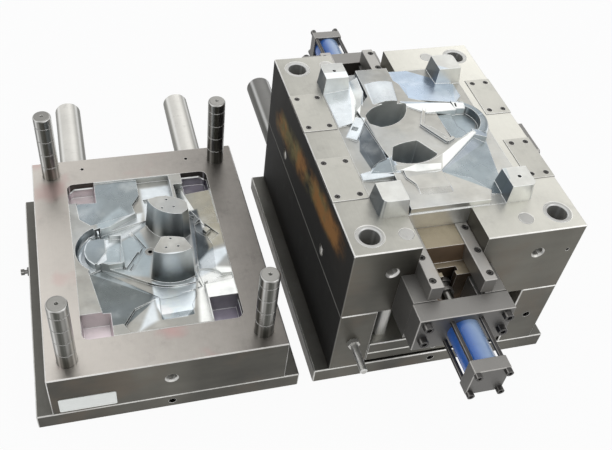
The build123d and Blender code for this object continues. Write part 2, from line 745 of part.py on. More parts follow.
def ejector_screw_places():
    return corners(RETURN_X - 2 * RETURN_D, RETURN_Y - RETURN_D / 2)


def ejector_plate():
    solid = ejector_base(Z_EJECTOR, Z_RETAINER)
    for x, y in ejector_screw_places():
        solid -= upright(x, y, Z_EJECTOR, Z_RETAINER, EJECTOR_SCREW_D + 1)
        solid -= upright(x, y, Z_EJECTOR, Z_EJECTOR + EJECTOR_SCREW_D + 2, EJECTOR_SCREW_D * 1.5 + 2)
    solid -= along_y(0, (Z_EJECTOR + Z_RETAINER) / 2, FACE_Y, FACE_Y + HANDLING_DEPTH, 16)
    return solid


def ejector_retainer_plate():
    solid = ejector_base(Z_RETAINER, Z_RETAINER_TOP)
    for x, y in corners(RETURN_X, RETURN_Y):
        solid -= upright(x, y, Z_RETAINER, Z_RETAINER_TOP, RETURN_D)
        solid -= upright(x, y, Z_RETAINER, Z_RETAINER + 14, RETURN_D + 10)
    for x, y, top in ejector_pin_places():
        solid -= upright(x, y, Z_RETAINER, Z_RETAINER_TOP, EJECTOR_PIN_D)
        solid -= upright(x, y, Z_RETAINER, Z_RETAINER + 8, EJECTOR_PIN_D + 6)
    for x, y in ejector_screw_places():
        solid -= upright(x, y, Z_RETAINER, Z_RETAINER + EJECTOR_SCREW_D * 2, EJECTOR_SCREW_D)
    return solid


def ejector_plate_screws():
    length = EJECTOR_T - EJECTOR_SCREW_D - 2 + EJECTOR_SCREW_D * 1.8
    screw = Rot(180, 0, 0) * cap_screw(EJECTOR_SCREW_D, length)
    return [Pos(x, y, Z_EJECTOR + 2) * screw for x, y in ejector_screw_places()]


def return_pins():
    pins = []
    for x, y in corners(RETURN_X, RETURN_Y):
        pin = upright(x, y, Z_RETAINER, Z_PART, RETURN_D)
        pin = chamfer(pin.edges().group_by(Axis.Z)[-1], 1)
        pins.append(pin + upright(x, y, Z_RETAINER, Z_RETAINER + 14, RETURN_D + 10))
    return pins


def ejector_pins():
    pins = []
    for x, y, top in ejector_pin_places():
        pin = upright(x, y, Z_RETAINER, top, EJECTOR_PIN_D)
        pins.append(pin + upright(x, y, Z_RETAINER, Z_RETAINER + 8, EJECTOR_PIN_D + 6))
    return pins


# Slide unit, front

def slide_block():
    """The slide: a body with a sloped heel, side wings and a slot for the rod coupling."""
    back = SLIDE_BACK_Y - FREE
    heel_y = SLIDE_BACK_Y - SLIDE_TOP_L
    profile = Polyline((back, Z_CHANNEL + FREE), (back, SLIDE_TOP), (heel_y, SLIDE_TOP),
                       (heel_y - HEEL_RUN, Z_GIB - FREE), (SLIDE_FACE_Y, Z_GIB - FREE),
                       (SLIDE_FACE_Y, Z_CHANNEL + FREE), close=True)
    width = SLIDE_W - 2 * FREE
    body = extrude(make_face(Plane.YZ * profile), width / 2, both=True)
    wing = SLIDE_W / 2 + WING_W - FREE
    body += block(-wing, wing, SLIDE_FACE_Y, back, Z_WING + FREE, Z_GIB - FREE)
    flange_y = SLIDE_FACE_Y + COUPLING_NECK_L
    neck = COUPLING_NECK_D / 2 + 1
    head = COUPLING_D / 2 + 1
    body -= upright_slot(neck, SLIDE_FACE_Y, flange_y)
    body -= upright_slot(head, flange_y - FREE, flange_y + COUPLING_T + FREE)
    return Pos(SLIDE_X, 0, 0) * body


def upright_slot(radius, y0, y1):
    """A slot with a round foot at rod height, open at the top of the slide's foot."""
    return along_y(0, Z_ROD, y0, y1, 2 * radius) + block(-radius, radius, y0, y1, Z_ROD, Z_GIB)


def rod_coupling():
    y = SLIDE_FACE_Y + COUPLING_NECK_L
    solid = along_y(SLIDE_X, Z_ROD, y, y + COUPLING_T, COUPLING_D)
    solid += along_y(SLIDE_X, Z_ROD, SLIDE_FACE_Y, y, COUPLING_NECK_D)
    solid += along_y(SLIDE_X, Z_ROD, SLIDE_FACE_Y - COUPLING_COLLAR_T, SLIDE_FACE_Y - FREE, COUPLING_COLLAR_D)
    solid += along_y(SLIDE_X, Z_ROD, SLIDE_FACE_Y - FREE, SLIDE_FACE_Y, COUPLING_NECK_D)
    return solid - along_y(SLIDE_X, Z_ROD, SLIDE_FACE_Y - COUPLING_COLLAR_T, SLIDE_FACE_Y, SPIGOT_D)


def piston_rod():
    start = SLIDE_FACE_Y - COUPLING_COLLAR_T
    end = TUBE_Y - 2
    solid = along_y(SLIDE_X, Z_ROD, start, end, ROD_D)
    solid += along_y(SLIDE_X, Z_ROD, SLIDE_FACE_Y, start, SPIGOT_D)
    return solid + along_y(SLIDE_X, Z_ROD, end, end - PISTON_T, SPIGOT_D)


def piston():
    y = TUBE_Y - 2
    solid = along_y(SLIDE_X, Z_ROD, y, y - PISTON_T, CYL_BORE - 2 * RUNNING)
    return solid - along_y(SLIDE_X, Z_ROD, y, y - PISTON_T, SPIGOT_D)


def gib_screw_places():
    """The gib screws' places along Y, and their distance from the slide's middle."""
    rows = [SLIDE_BACK_Y - 18, (SLIDE_BACK_Y + GIB_Y) / 2, GIB_Y + 22]
    return rows, SLIDE_W / 2 + GIB_W * 0.66


def gib(side):
    inner = SLIDE_W / 2
    outer = SLIDE_W / 2 + GIB_W
    bar = block(inner, outer, GIB_Y, SLIDE_BACK_Y, Z_GIB, Z_GIB + GIB_T)
    bar = chamfer(bar.edges(), 1.5)
    rows, x = gib_screw_places()
    for y in rows:
        bar -= upright(x, y, Z_GIB, Z_GIB + GIB_T, GIB_SCREW_D + 1)
        bar -= upright(x, y, Z_GIB + GIB_T - GIB_SCREW_D - 1, Z_GIB + GIB_T, GIB_SCREW_D * 1.8)
    if side < 0:
        bar = mirror(bar, about=Plane.YZ)
    return Pos(SLIDE_X, 0, 0) * bar


def gib_screws():
    screw = cap_screw(GIB_SCREW_D, GIB_T - GIB_SCREW_D - 1 + GIB_SCREW_D * 1.5)
    rows, x = gib_screw_places()
    z = Z_GIB + GIB_T - 1
    return [Pos(SLIDE_X + side * x, y, z) * screw for side in (-1, 1) for y in rows]


def gib_screw_holes():
    rows, x = gib_screw_places()
    hole = Pos(SLIDE_X, 0, Z_GIB - GIB_SCREW_D) * Cylinder(GIB_SCREW_D / 2, 2 * GIB_SCREW_D)
    return [Pos(side * x, y, 0) * hole for side in (-1, 1) for y in rows]


def arm(side):
    """A bracket arm beside the slide, stepped like the channel in the plate."""
    solid = block(SLIDE_W / 2, ARM_X, CROSS_Y, FACE_Y, Z_CORE, Z_GIB)
    solid = chamfer(solid.edges().filter_by(Axis.Y), 1.5)
    solid -= block(0, SLIDE_W / 2 + WING_W, CROSS_Y, FACE_Y, Z_WING, Z_GIB)
    if side < 0:
        solid = mirror(solid, about=Plane.YZ)
    solid = Pos(SLIDE_X, 0, 0) * solid
    for hole in gib_screw_holes() + bracket_screw_holes():
        solid -= hole
    return solid


def bracket_screw_places():
    x = ARM_X - ARM_W / 2
    z = [Z_ROD - 15, Z_ROD + 40]
    return [(SLIDE_X + side * x, level) for side in (-1, 1) for level in z]


def bracket_screw_holes():
    end = FACE_Y + BRACKET_SCREW_D * 1.5
    return [along_y(x, z, CROSS_Y, end, BRACKET_SCREW_D) for x, z in bracket_screw_places()]


def bracket_screws():
    screw = Rot(90, 0, 0) * cap_screw(BRACKET_SCREW_D, FACE_Y - TUBE_Y + BRACKET_SCREW_D * 1.4)
    return [Pos(x, TUBE_Y - BRACKET_SCREW_D, z) * screw for x, z in bracket_screw_places()]


def cross_plate():
    x = ARM_X + CROSS_SPARE
    solid = block(-x, x, TUBE_Y, CROSS_Y, Z_GIB - CROSS_H - 2, Z_GIB - 2)
    solid = Pos(SLIDE_X, 0, 0) * chamfer(solid.edges(), 1.5)
    solid -= along_y(SLIDE_X, Z_ROD, TUBE_Y, CROSS_Y, ROD_D + 2 * RUNNING)
    for x, z in bracket_screw_places():
        solid -= along_y(x, z, TUBE_Y, CROSS_Y, BRACKET_SCREW_D + 1)
    for x, z in tie_places():
        solid -= along_y(x, z, TUBE_Y, TUBE_Y + TIE_D * 2, TIE_D)
    return solid


def tie_places():
    return [(SLIDE_X + x, Z_ROD + z) for x, z in corners(TIE_SPACING / 2, TIE_SPACING / 2)]


def cylinder_tube():
    tube = along_y(SLIDE_X, Z_ROD, TUBE_Y, CAP_Y, CYL_OD)
    return tube - along_y(SLIDE_X, Z_ROD, TUBE_Y, CAP_Y, CYL_BORE)


def cylinder_cap():
    w = CAP_W / 2
    solid = block(SLIDE_X - w, SLIDE_X + w, CAP_Y - CAP_T, CAP_Y, Z_ROD - w, Z_ROD + w)
    solid = chamfer(solid.edges(), 1.5)
    for x, z in tie_places():
        solid -= along_y(x, z, CAP_Y - CAP_T, CAP_Y, TIE_D + 1)
    return solid - along_x(CAP_Y - CAP_T / 2, Z_ROD, SLIDE_X + w - 14, SLIDE_X + w, 13.2)


def tie_screws():
    screw = Rot(90, 0, 0) * cap_screw(TIE_D, CAP_T + TUBE_L + TIE_D * 1.8)
    return [Pos(x, CAP_Y - CAP_T - TIE_D, z) * screw for x, z in tie_places()]


# Cavity half, drawn about its own middle

def cavity_clamp_plate():
    solid = plate(PLATE_W + 2 * CLAMP_OVERHANG, PLATE_L, 0, CLAMP_T)
    solid -= upright(0, 0, 0, RING_SINK + RING_T, RING_D)
    solid -= upright(0, 0, 0, CLAMP_T, SPRUE_HEAD_D)
    for x, y in cavity_clamp_screw_places():
        solid -= upright(x, y, 0, CLAMP_T, CAVITY_SCREW_D + 1)
        solid -= upright(x, y, 0, CAVITY_SCREW_D + 2, CAVITY_SCREW_D * 1.5 + 2)
    solid -= along_y(0, CLAMP_T / 2, FACE_Y, FACE_Y + HANDLING_DEPTH, HANDLING_D)
    edge = -PLATE_W / 2 - CLAMP_OVERHANG
    solid -= along_x(FITTING_Y, CLAMP_T / 2, edge, edge + 20, FITTING_D)
    return solid


def cavity_clamp_screw_places():
    return [(x, y) for x in (-SPACER_X, SPACER_X) for y in (-CLAMP_SCREW_Y, 0, CLAMP_SCREW_Y)]


def cavity_clamp_screws():
    screw = Rot(180, 0, 0) * cap_screw(CAVITY_SCREW_D, CLAMP_T - CAVITY_SCREW_D - 2 + CLAMP_SCREW_GRIP)
    return [Pos(x, y, 2) * screw for x, y in cavity_clamp_screw_places()]


def cavity_plate():
    solid = plate(PLATE_W, PLATE_L, CLAMP_T, Z_CAVITY)
    solid -= rounded(INSERT_W, INSERT_L, Z_CAVITY_POCKET, Z_CAVITY, INSERT_CORNER)
    for x, y in corners(GUIDE_X, GUIDE_Y):
        solid -= upright(x, y, CLAMP_T, Z_CAVITY, GUIDE_D)
        solid -= upright(x, y, CLAMP_T, CLAMP_T + GUIDE_HEAD_T, GUIDE_D + 2 * GUIDE_HEAD_STEP)
    for x, y in cavity_clamp_screw_places():
        solid -= upright(x, y, CLAMP_T, CLAMP_T + CLAMP_SCREW_GRIP + 2, CAVITY_SCREW_D)
    for x, y in corners(INSERT_SCREW_X, INSERT_SCREW_Y):
        solid -= upright(x, y, CLAMP_T, Z_CAVITY_POCKET, INSERT_SCREW_D + 1)
        solid -= upright(x, y, CLAMP_T, CLAMP_T + INSERT_SCREW_D + 2, INSERT_SCREW_D * 1.5 + 2)
    solid -= upright(0, 0, CLAMP_T, Z_CAVITY_POCKET, SPRUE_D)
    for hole in both_ends(Pos(0, FACE_Y, Z_CAVITY - 68) * eyebolt_hole()):
        solid -= hole
    for x in (-RETURN_X, RETURN_X):
        solid -= upright(x, RETURN_Y + 5, Z_CAVITY - 25, Z_CAVITY, 10)
    for x in (-CAVITY_LEG_X, CAVITY_LEG_X):
        solid -= along_y(x, CAVITY_LEG_Z, PLATE_L / 2 - LEG_SPIGOT_L, PLATE_L / 2, LEG_SPIGOT_D)
    return solid


def cavity_insert():
    solid = rounded(INSERT_W, INSERT_L, Z_CAVITY_POCKET, Z_CAVITY, INSERT_CORNER)
    flip = Pos(0, 0, Z_CAVITY + Z_PART - WALL_GAP) * Rot(0, 180, 0)
    solid -= flip * raised_form()
    for boss in bowls(grow=-WALL_GAP, short=WALL_GAP):
        solid += Pos(0, 0, Z_CAVITY + Z_PART) * Rot(0, 180, 0) * boss
    for lock in interlocks(LOCK_CLEARANCE):
        solid -= Pos(0, 0, Z_CAVITY + Z_PART) * Rot(0, 180, 0) * lock
    for x, y, pin_top in ejector_pin_places():
        top = Z_CAVITY + Z_PART - WALL_GAP - pin_top
        solid -= upright(-x, y, top - VENT_DEPTH, top + VENT_DEPTH, VENT_D)
    solid -= upright(0, 0, Z_CAVITY_POCKET, Z_CAVITY, SPRUE_D)
    for x, y in corners(INSERT_SCREW_X, INSERT_SCREW_Y):
        solid -= upright(x, y, Z_CAVITY_POCKET, Z_CAVITY_POCKET + 30, INSERT_SCREW_D)
    return solid


def cavity_insert_screws():
    length = Z_CAVITY_POCKET - CLAMP_T - 2 + 26 - INSERT_SCREW_D
    screw = Rot(180, 0, 0) * cap_screw(INSERT_SCREW_D, length)
    return [Pos(x, y, CLAMP_T + 2) * screw for x, y in corners(INSERT_SCREW_X, INSERT_SCREW_Y)]


def guide_pin():
    """A guide pin with its head, rounded nose, centre hole and oil grooves, turned about Z."""
    r = GUIDE_D / 2
    top = CAVITY_T + GUIDE_REACH
    nose = 6
    groove_pitch = 48
    pin = Pos(0, 0, top / 2) * Cylinder(r, top)
    pin = fillet(pin.edges().group_by(Axis.Z)[-1], nose)
    pin += Pos(0, 0, GUIDE_HEAD_T / 2) * Cylinder(r + GUIDE_HEAD_STEP, GUIDE_HEAD_T)
    for index in range(4):
        ring = Pos(0, 0, top - 30 - index * groove_pitch) * (Cylinder(r + 1, 3) - Cylinder(r - 1.2, 3))
        pin -= ring
    return pin - Pos(0, 0, top - 5) * Cone(0.5, 5, 10)


def guide_pins():
    return [Pos(x, y, CLAMP_T) * guide_pin() for x, y in corners(GUIDE_X, GUIDE_Y)]


def cavity_legs():
    return [Pos(x, PLATE_L / 2, CAVITY_LEG_Z) * leg() for x in (-CAVITY_LEG_X, CAVITY_LEG_X)]


def nameplate():
    x = NAMEPLATE_X
    z = CLAMP_T + 10
    bare = block(x - NAMEPLATE_W / 2, x + NAMEPLATE_W / 2, FACE_Y - NAMEPLATE_T, FACE_Y, z, z + NAMEPLATE_H)
    return chamfer(bare.edges().filter_by(Axis.Y), 3)


def locating_ring():
    ring = upright(0, 0, RING_SINK, RING_SINK + RING_T, RING_D)
    return ring - Pos(0, 0, RING_SINK + RING_T / 2) * Cone(45, 20, RING_T)


def sprue_bush():
    """The sprue bush: a head behind the locating ring and a shank up to the cavity floor."""
    z = RING_SINK + RING_T
    top = Z_CAVITY - LAND_H - WALL_GAP
    solid = upright(0, 0, z, CLAMP_T, SPRUE_HEAD_D) + upright(0, 0, CLAMP_T, top, SPRUE_D)
    solid -= Pos(0, 0, (z + top) / 2) * Cone(3, 6, top - z)
    return solid - Pos(0, 0, z - 8) * Sphere(15)


def side_fitting():
    """A hose nipple screwed into the left edge of the cavity clamp plate."""
    edge = -PLATE_W / 2 - CLAMP_OVERHANG
    solid = along_x(FITTING_Y, CLAMP_T / 2, edge - 14, edge + 20, FITTING_D)
    solid += Pos(edge, FITTING_Y, CLAMP_T / 2) * Rot(0, -90, 0) * extrude(RegularPolygon(13, 6), 6)
    return solid + along_x(FITTING_Y, CLAMP_T / 2, edge - 24, edge - 14, 18)


def write(name, shapes):
    """One STEP file for a node, as one solid or a group of separate solids."""
    shapes = shapes if isinstance(shapes, list) else [shapes]
    whole = shapes[0] if len(shapes) == 1 else Compound(children=shapes)
    export_step(whole, f"parts/{name}.step")


os.makedirs("parts", exist_ok=True)

core_half = {
    "core_clamp_plate": core_clamp_plate(),
    "core_clamp_screws": core_clamp_screws(),
    "spacer_block_left": spacer_block(-1),
    "spacer_block_right": spacer_block(1),
    "pull_rod": pull_rod(),
    "core_legs": core_legs(),
    "core_plate": core_plate(),
    "core_insert": core_insert(),
    "core_insert_screws": core_insert_screws(),
    "guide_bushes": guide_bushes(),
    "wear_pads_left": wear_pads(-1),
    "wear_pads_right": wear_pads(1),
    "wear_pad_screws": wear_pad_screws(),
    "safety_strap": safety_strap(),
    "strap_screws": strap_screws(),
    "support_pillars": support_pillars(),
    "stop_buttons": stop_buttons(),
    "ejector_plate": ejector_plate(),
    "ejector_retainer_plate": ejector_retainer_plate(),
    "ejector_plate_screws": ejector_plate_screws(),
    "ejector_pins": ejector_pins(),
    "return_pins": return_pins(),
}
for name, shape in core_half.items():
    write(name, shape)

slide_unit = {
    "slide_block": slide_block(),
    "rod_coupling": rod_coupling(),
    "piston_rod": piston_rod(),
    "piston": piston(),
    "gib_left": gib(-1),
    "gib_right": gib(1),
    "arm_left": arm(-1),
    "arm_right": arm(1),
    "cross_plate": cross_plate(),
    "cylinder_tube": cylinder_tube(),
    "cylinder_cap": cylinder_cap(),
}
for name, shape in slide_unit.items():
    front, rear = both_ends(shape)
    write("front_" + name, front)
    write("rear_" + name, rear)
fasteners = {"gib_screws": gib_screws(), "bracket_screws": bracket_screws(), "tie_screws": tie_screws()}
for name, screws in fasteners.items():
    write(name, [end for screw in screws for end in both_ends(screw)])

cavity_half = {
    "cavity_clamp_plate": cavity_clamp_plate(),
    "cavity_clamp_screws": cavity_clamp_screws(),
    "cavity_plate": cavity_plate(),
    "cavity_insert": cavity_insert(),
    "cavity_insert_screws": cavity_insert_screws(),
    "guide_pins": guide_pins(),
    "cavity_legs": cavity_legs(),
    "nameplate": nameplate(),
    "locating_ring": locating_ring(),
    "sprue_bush": sprue_bush(),
    "side_fitting": side_fitting(),
}
for name, shape in cavity_half.items():
    shapes = shape if isinstance(shape, list) else [shape]
    write(name, half(shapes, -HALF_PITCH))
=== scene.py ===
"""Finishes, small turned details and the studio for an opened injection mould with two side slides."""

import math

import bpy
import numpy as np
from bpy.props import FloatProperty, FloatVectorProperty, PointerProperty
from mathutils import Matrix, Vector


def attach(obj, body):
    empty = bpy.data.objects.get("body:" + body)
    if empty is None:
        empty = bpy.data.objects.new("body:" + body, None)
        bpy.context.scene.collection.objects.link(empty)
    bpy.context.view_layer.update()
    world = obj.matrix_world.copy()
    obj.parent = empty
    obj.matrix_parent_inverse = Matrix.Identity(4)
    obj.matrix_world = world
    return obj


bl_info = {
    "name": "Body part mould dresser",
    "version": (1, 0, 0),
    "blender": (4, 5, 0),
    "location": "3D View > Sidebar > Mould",
    "description": "Dresses the frame of a two-part injection mould: steels, paint, threads and studio",
    "category": "Object",
}

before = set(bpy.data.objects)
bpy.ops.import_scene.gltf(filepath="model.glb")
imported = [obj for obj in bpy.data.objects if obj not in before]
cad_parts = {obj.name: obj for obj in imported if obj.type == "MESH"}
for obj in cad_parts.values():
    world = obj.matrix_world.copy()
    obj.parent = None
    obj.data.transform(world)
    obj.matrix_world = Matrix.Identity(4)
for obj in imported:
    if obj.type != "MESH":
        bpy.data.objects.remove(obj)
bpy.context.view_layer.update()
PITCH = 0.722

# The eyebolt holes, and the nameplate's face with its rivets and its rim, in metres
EYE_X = 0.192
EYE_MOUTH_Y = 0.3812
EYE_MOUTH_X = 0.2962
EYE_FRONT_Z = 0.430
EYE_SIDE_Y = 0.190
EYE_SIDE_Z = 0.318
EYE_CAVITY_Z = 0.132
EYE_TURNS = 14
EYE_DEPTH_SHARE = 0.27
NAMEPLATE_X = -0.932
NAMEPLATE_Y = -0.3865
NAMEPLATE_Z = 0.0875
RIVET_X, RIVET_Z = 0.063, 0.0200
RIVET_R, RIVET_RISE = 0.0032, 0.0016
RIM_HALF_W, RIM_HALF_H, RIM_SECTION = 0.0670, 0.0240, 0.0016

# Where the core half's left face and its parting face are, and the top of its interlock blocks
LEFT_FACE = -0.300
PARTING_Z = 0.510
LOCK_TOP_Z = 0.560

# The rust streak on the left face: its middle, its fall along Y, its half width and its half length
STREAK_Y = -0.01
STREAK_Z = 0.412
STREAK_FALL = -0.14
STREAK_HALF_W = 0.062
STREAK_HALF_L = 0.38

# The heights between which the walls of the lamp bowls and of the bosses change colour, from painted shade
# below to painted light above
BOWL_LOW, BOWL_HIGH = 0.42, 0.52
BOSS_LOW, BOSS_HIGH = 0.192, 0.285

# The interlock pockets' middles and half width on the insert, in millimetres
POCKET_X = 167
POCKET_Y = 241
POCKET_HALF = 41

# The photograph's frame and the camera that was worked out from the mould's own edges
IMAGE_W = 612
IMAGE_H = 450
FOCAL_PX = 800.059
CENTRE_U = 272.819
CENTRE_V = 235.259
CAMERA_PLACE = (-0.86646, -1.48044, 1.85589)
CAMERA_TILT = 43.030
CAMERA_ROLL = 6.508
CAMERA_TURN = -18.469
SENSOR_MM = 36.0
MM = 1000

# Width of the edge of a painted light and shade tone on the inserts: cut along a facet, or soft
CRISP = 0.003
SOFT = 0.014

# A face of the inserts counts as level between these upward parts of its normal
LEVEL_LOW, LEVEL_HIGH = 0.9982, 0.9996

# Rays for each rounded edge and for each corner's grime and painted shade
SAMPLES = 6

# Rows and columns of the added meshes, and the power that rounds the rim's corners
THREAD_STEPS = 28
DOME_RINGS, DOME_STEPS = 7, 24
RIM_STEPS, RIM_ARC = 160, 7
RIM_POWER = 10

# The floor's half width and how far it lies under the mould
FLOOR_SIDE = 30.0
FLOOR_DROP = 0.0006


def colour(name, text, value):
    """A linear colour property with its default."""
    return FloatVectorProperty(name=name, description=text, subtype="COLOR", size=3, min=0, max=1,
                               default=value)


def length(name, text, value):
    """A length property in metres with its default."""
    return FloatProperty(name=name, description=text, unit="LENGTH", min=0, default=value)


class MouldColours(bpy.types.PropertyGroup):
    """Base colours of the mould's finishes, and of the light, shade and reflections painted on them."""
    ground: colour("Ground plate", "Ground parting faces of the plates", (0.55, 0.54, 0.49))
    # Plate sides: oiled scale, and darker than the tops partly as painted shade
    scale: colour("Plate sides", "Oiled and darkened sides of the plates", (0.105, 0.100, 0.084))
    rust: colour("Rust streak", "Warm streak on the core plate's left side", (0.36, 0.17, 0.050))
    olive: colour("Oil stain", "Olive oil stain within the streak", (0.20, 0.165, 0.065))
    insert: colour("Moulding steel", "Level faces of the inserts", (0.50, 0.49, 0.45))
    # Tones of painted light and shade on the inserts: slope is a painted cool reflection on the slopes;
    # bright, pale, sheen and blue are painted highlights and reflections; grey, shadow, deep and dark are
    # painted shade
    slope: colour("Slope steel", "Cool polished slopes of the inserts", (0.40, 0.45, 0.50))
    bright: colour("Polished ridge", "Ridge, bar and steep strip, polished white", (0.82, 0.83, 0.80))
    pale: colour("Pale slope", "Rear left slope, lip and tongue", (0.64, 0.68, 0.70))
    sheen: colour("Apron", "Polished apron in front of the cavity's front boss", (0.88, 0.95, 0.99))
    blue: colour("Blue facet", "Rear facets, with a sky blue sheen", (0.46, 0.55, 0.66))
    grey: colour("Grey facet", "Front right facet and the pocket floor", (0.34, 0.39, 0.41))
    shadow: colour("Shadowed facet", "Rear facets of the cavity", (0.235, 0.265, 0.275))
    deep: colour("Deep facet", "Front facet of the cavity and the feet of its bosses", (0.125, 0.14, 0.14))
    dark: colour("Dark wedge", "Steep facet at the left of the core", (0.046, 0.050, 0.049))
    lilac: colour("Pink pocket", "Left interlock pockets, with a pink cast", (0.76, 0.66, 0.69))
    violet: colour("Violet pocket", "Right interlock pockets, in their own shade", (0.22, 0.20, 0.25))
    tan: colour("Tan facet", "Warm facet at the side of the cavity", (0.33, 0.31, 0.25))
    turned: colour("Turned steel", "Guide pins, bushes and rods", (0.27, 0.265, 0.25))
    bracket: colour("Bracket steel", "Slide brackets and gibs", (0.150, 0.145, 0.137))
    oxide: colour("Black oxide", "Cap screws", (0.055, 0.052, 0.050))
    paint: colour("Cylinder enamel", "Cylinder tubes", (0.045, 0.19, 0.66))
    # Painted highlight on the upper side of the cylinder tubes
    enamel_highlight: colour("Enamel highlight", "Dusty, lighter top of the cylinder tubes", (0.60, 0.76, 0.94))
    # Grime and painted shade in corners and channels
    dirt_and_shade: colour("Dirt", "Old grease in corners and channels", (0.040, 0.030, 0.020))
    plate_metal: colour("Nameplate metal", "Bare nameplate", (0.80, 0.82, 0.80))
    marking: colour("Marking dye", "Traces of red marking dye on the cavity half", (0.50, 0.16, 0.17))
    warm_scale: colour("Warm scale", "Brown patches on the plate sides", (0.150, 0.112, 0.078))
    slide_side: colour("Slide sides", "Browned sides of the slide blocks", (0.22, 0.15, 0.095))
    gib_warm: colour("Gib patina", "Warm patches on the gibs", (0.34, 0.26, 0.19))
    shaded: colour("Shaded wall", "Core walls looking left, cavity walls right", (0.085, 0.092, 0.100))
    # Grime and painted shade in the inserts' corners and in the grooves of turned pieces
    soot_and_shade: colour("Corner soot", "Dirt in the corners of the inserts", (0.045, 0.050, 0.055))
    pin_oil_and_shade: colour("Pin oil", "Oil in the grooves of turned pieces", (0.020, 0.018, 0.015))
    # Painted reflection as dark streaks round turned pieces, and painted shade on the sides of lying stock
    dark_reflection_band: colour("Oil band", "Dark bands along turned pieces", (0.045, 0.047, 0.038))
    flank_shade: colour("Oily flank", "Flanks of lying round stock", (0.060, 0.062, 0.052))
    bared: colour("Bared steel", "Steel where the enamel is chipped", (0.30, 0.30, 0.31))
    # Edge colours: rubbed edges with painted highlights along them and on chamfers; on the inserts, a painted
    # highlight
    plate_edge: colour("Plate edge", "Worn edges of the plates", (0.90, 0.89, 0.86))
    insert_edge_highlight: colour("Insert edge", "Polished edges of the inserts", (0.92, 0.94, 0.93))
    turned_edge: colour("Turned edge", "Edges of turned pieces", (0.86, 0.86, 0.84))
    bracket_edge: colour("Bracket edge", "Rubbed edges of the brackets", (0.62, 0.60, 0.57))
    screw_edge: colour("Screw edge", "Rubbed rims of the screws", (0.50, 0.48, 0.45))


class MouldSizes(bpy.types.PropertyGroup):
    """Sizes of the finishes and of the added details."""
    # Edge widths: where rubbed edges and painted edge highlights show
    edge: length("Edge wear", "Width of the bright worn edge", 0.0022)
    turned_edge: length("Turned edge", "Rounding seen along the edges of turned pieces", 0.0012)
    screw_edge: length("Screw edge", "Rounding seen along the rims of the screws", 0.0010)
    polished_edge: length("Polished edge", "Rounding seen along the edges of the inserts", 0.0030)
    grind_pitch: length("Grinding pitch", "Distance between the grinder's marks", 0.0016)
    mill_pitch: length("Milling pitch", "Distance between the cutter's paths on the inserts", 0.0024)
    grind_depth: length("Grinding depth", "Height of the marks on plates and brackets", 0.00012)
    mill_depth: length("Milling depth", "Height of the cutter's marks on the inserts", 0.00018)
    turn_depth: length("Turning depth", "Height of the rings on turned pieces", 0.00008)
    skin_depth: length("Skin depth", "Height of the grain on screws, enamel and nameplate", 0.00010)
    eyebolt_r: length("Eyebolt hole radius", "Root radius of the eyebolt threads", 0.01325)
    eyebolt_pitch: length("Eyebolt pitch", "Pitch of the eyebolt threads", 0.0035)


# Shader maths

class Sock:
    """An output of a node tree. Arithmetic on it adds Math nodes, and numbers may stand on either side."""

    def __init__(self, finish, link):
        self.finish = finish
        self.link = link

    def maths(self, operation, *others):
        values = {0: self, **dict(enumerate(others, 1))}
        return self.finish.node("ShaderNodeMath", {"operation": operation}, values)

    def __add__(self, other):
        return self.maths("ADD", other)

    __radd__ = __add__

    def __mul__(self, other):
        return self.maths("MULTIPLY", other)

    __rmul__ = __mul__

    def __sub__(self, other):
        return self.maths("SUBTRACT", other)

    def __rsub__(self, other):
        return self * -1 + other

    def __truediv__(self, other):
        return self.maths("DIVIDE", other)

    def between(self, low, high):
        """Nought at low and under, one at high and over, and a smooth step between."""
        settings = {"interpolation_type": "SMOOTHSTEP"}
        return self.finish.node("ShaderNodeMapRange", settings, {0: self, 1: low, 2: high})

    def size(self):
        return self.maths("ABSOLUTE")

    def least(self, other):
        return self.maths("MINIMUM", other)

    def most(self, other):
        return self.maths("MAXIMUM", other)


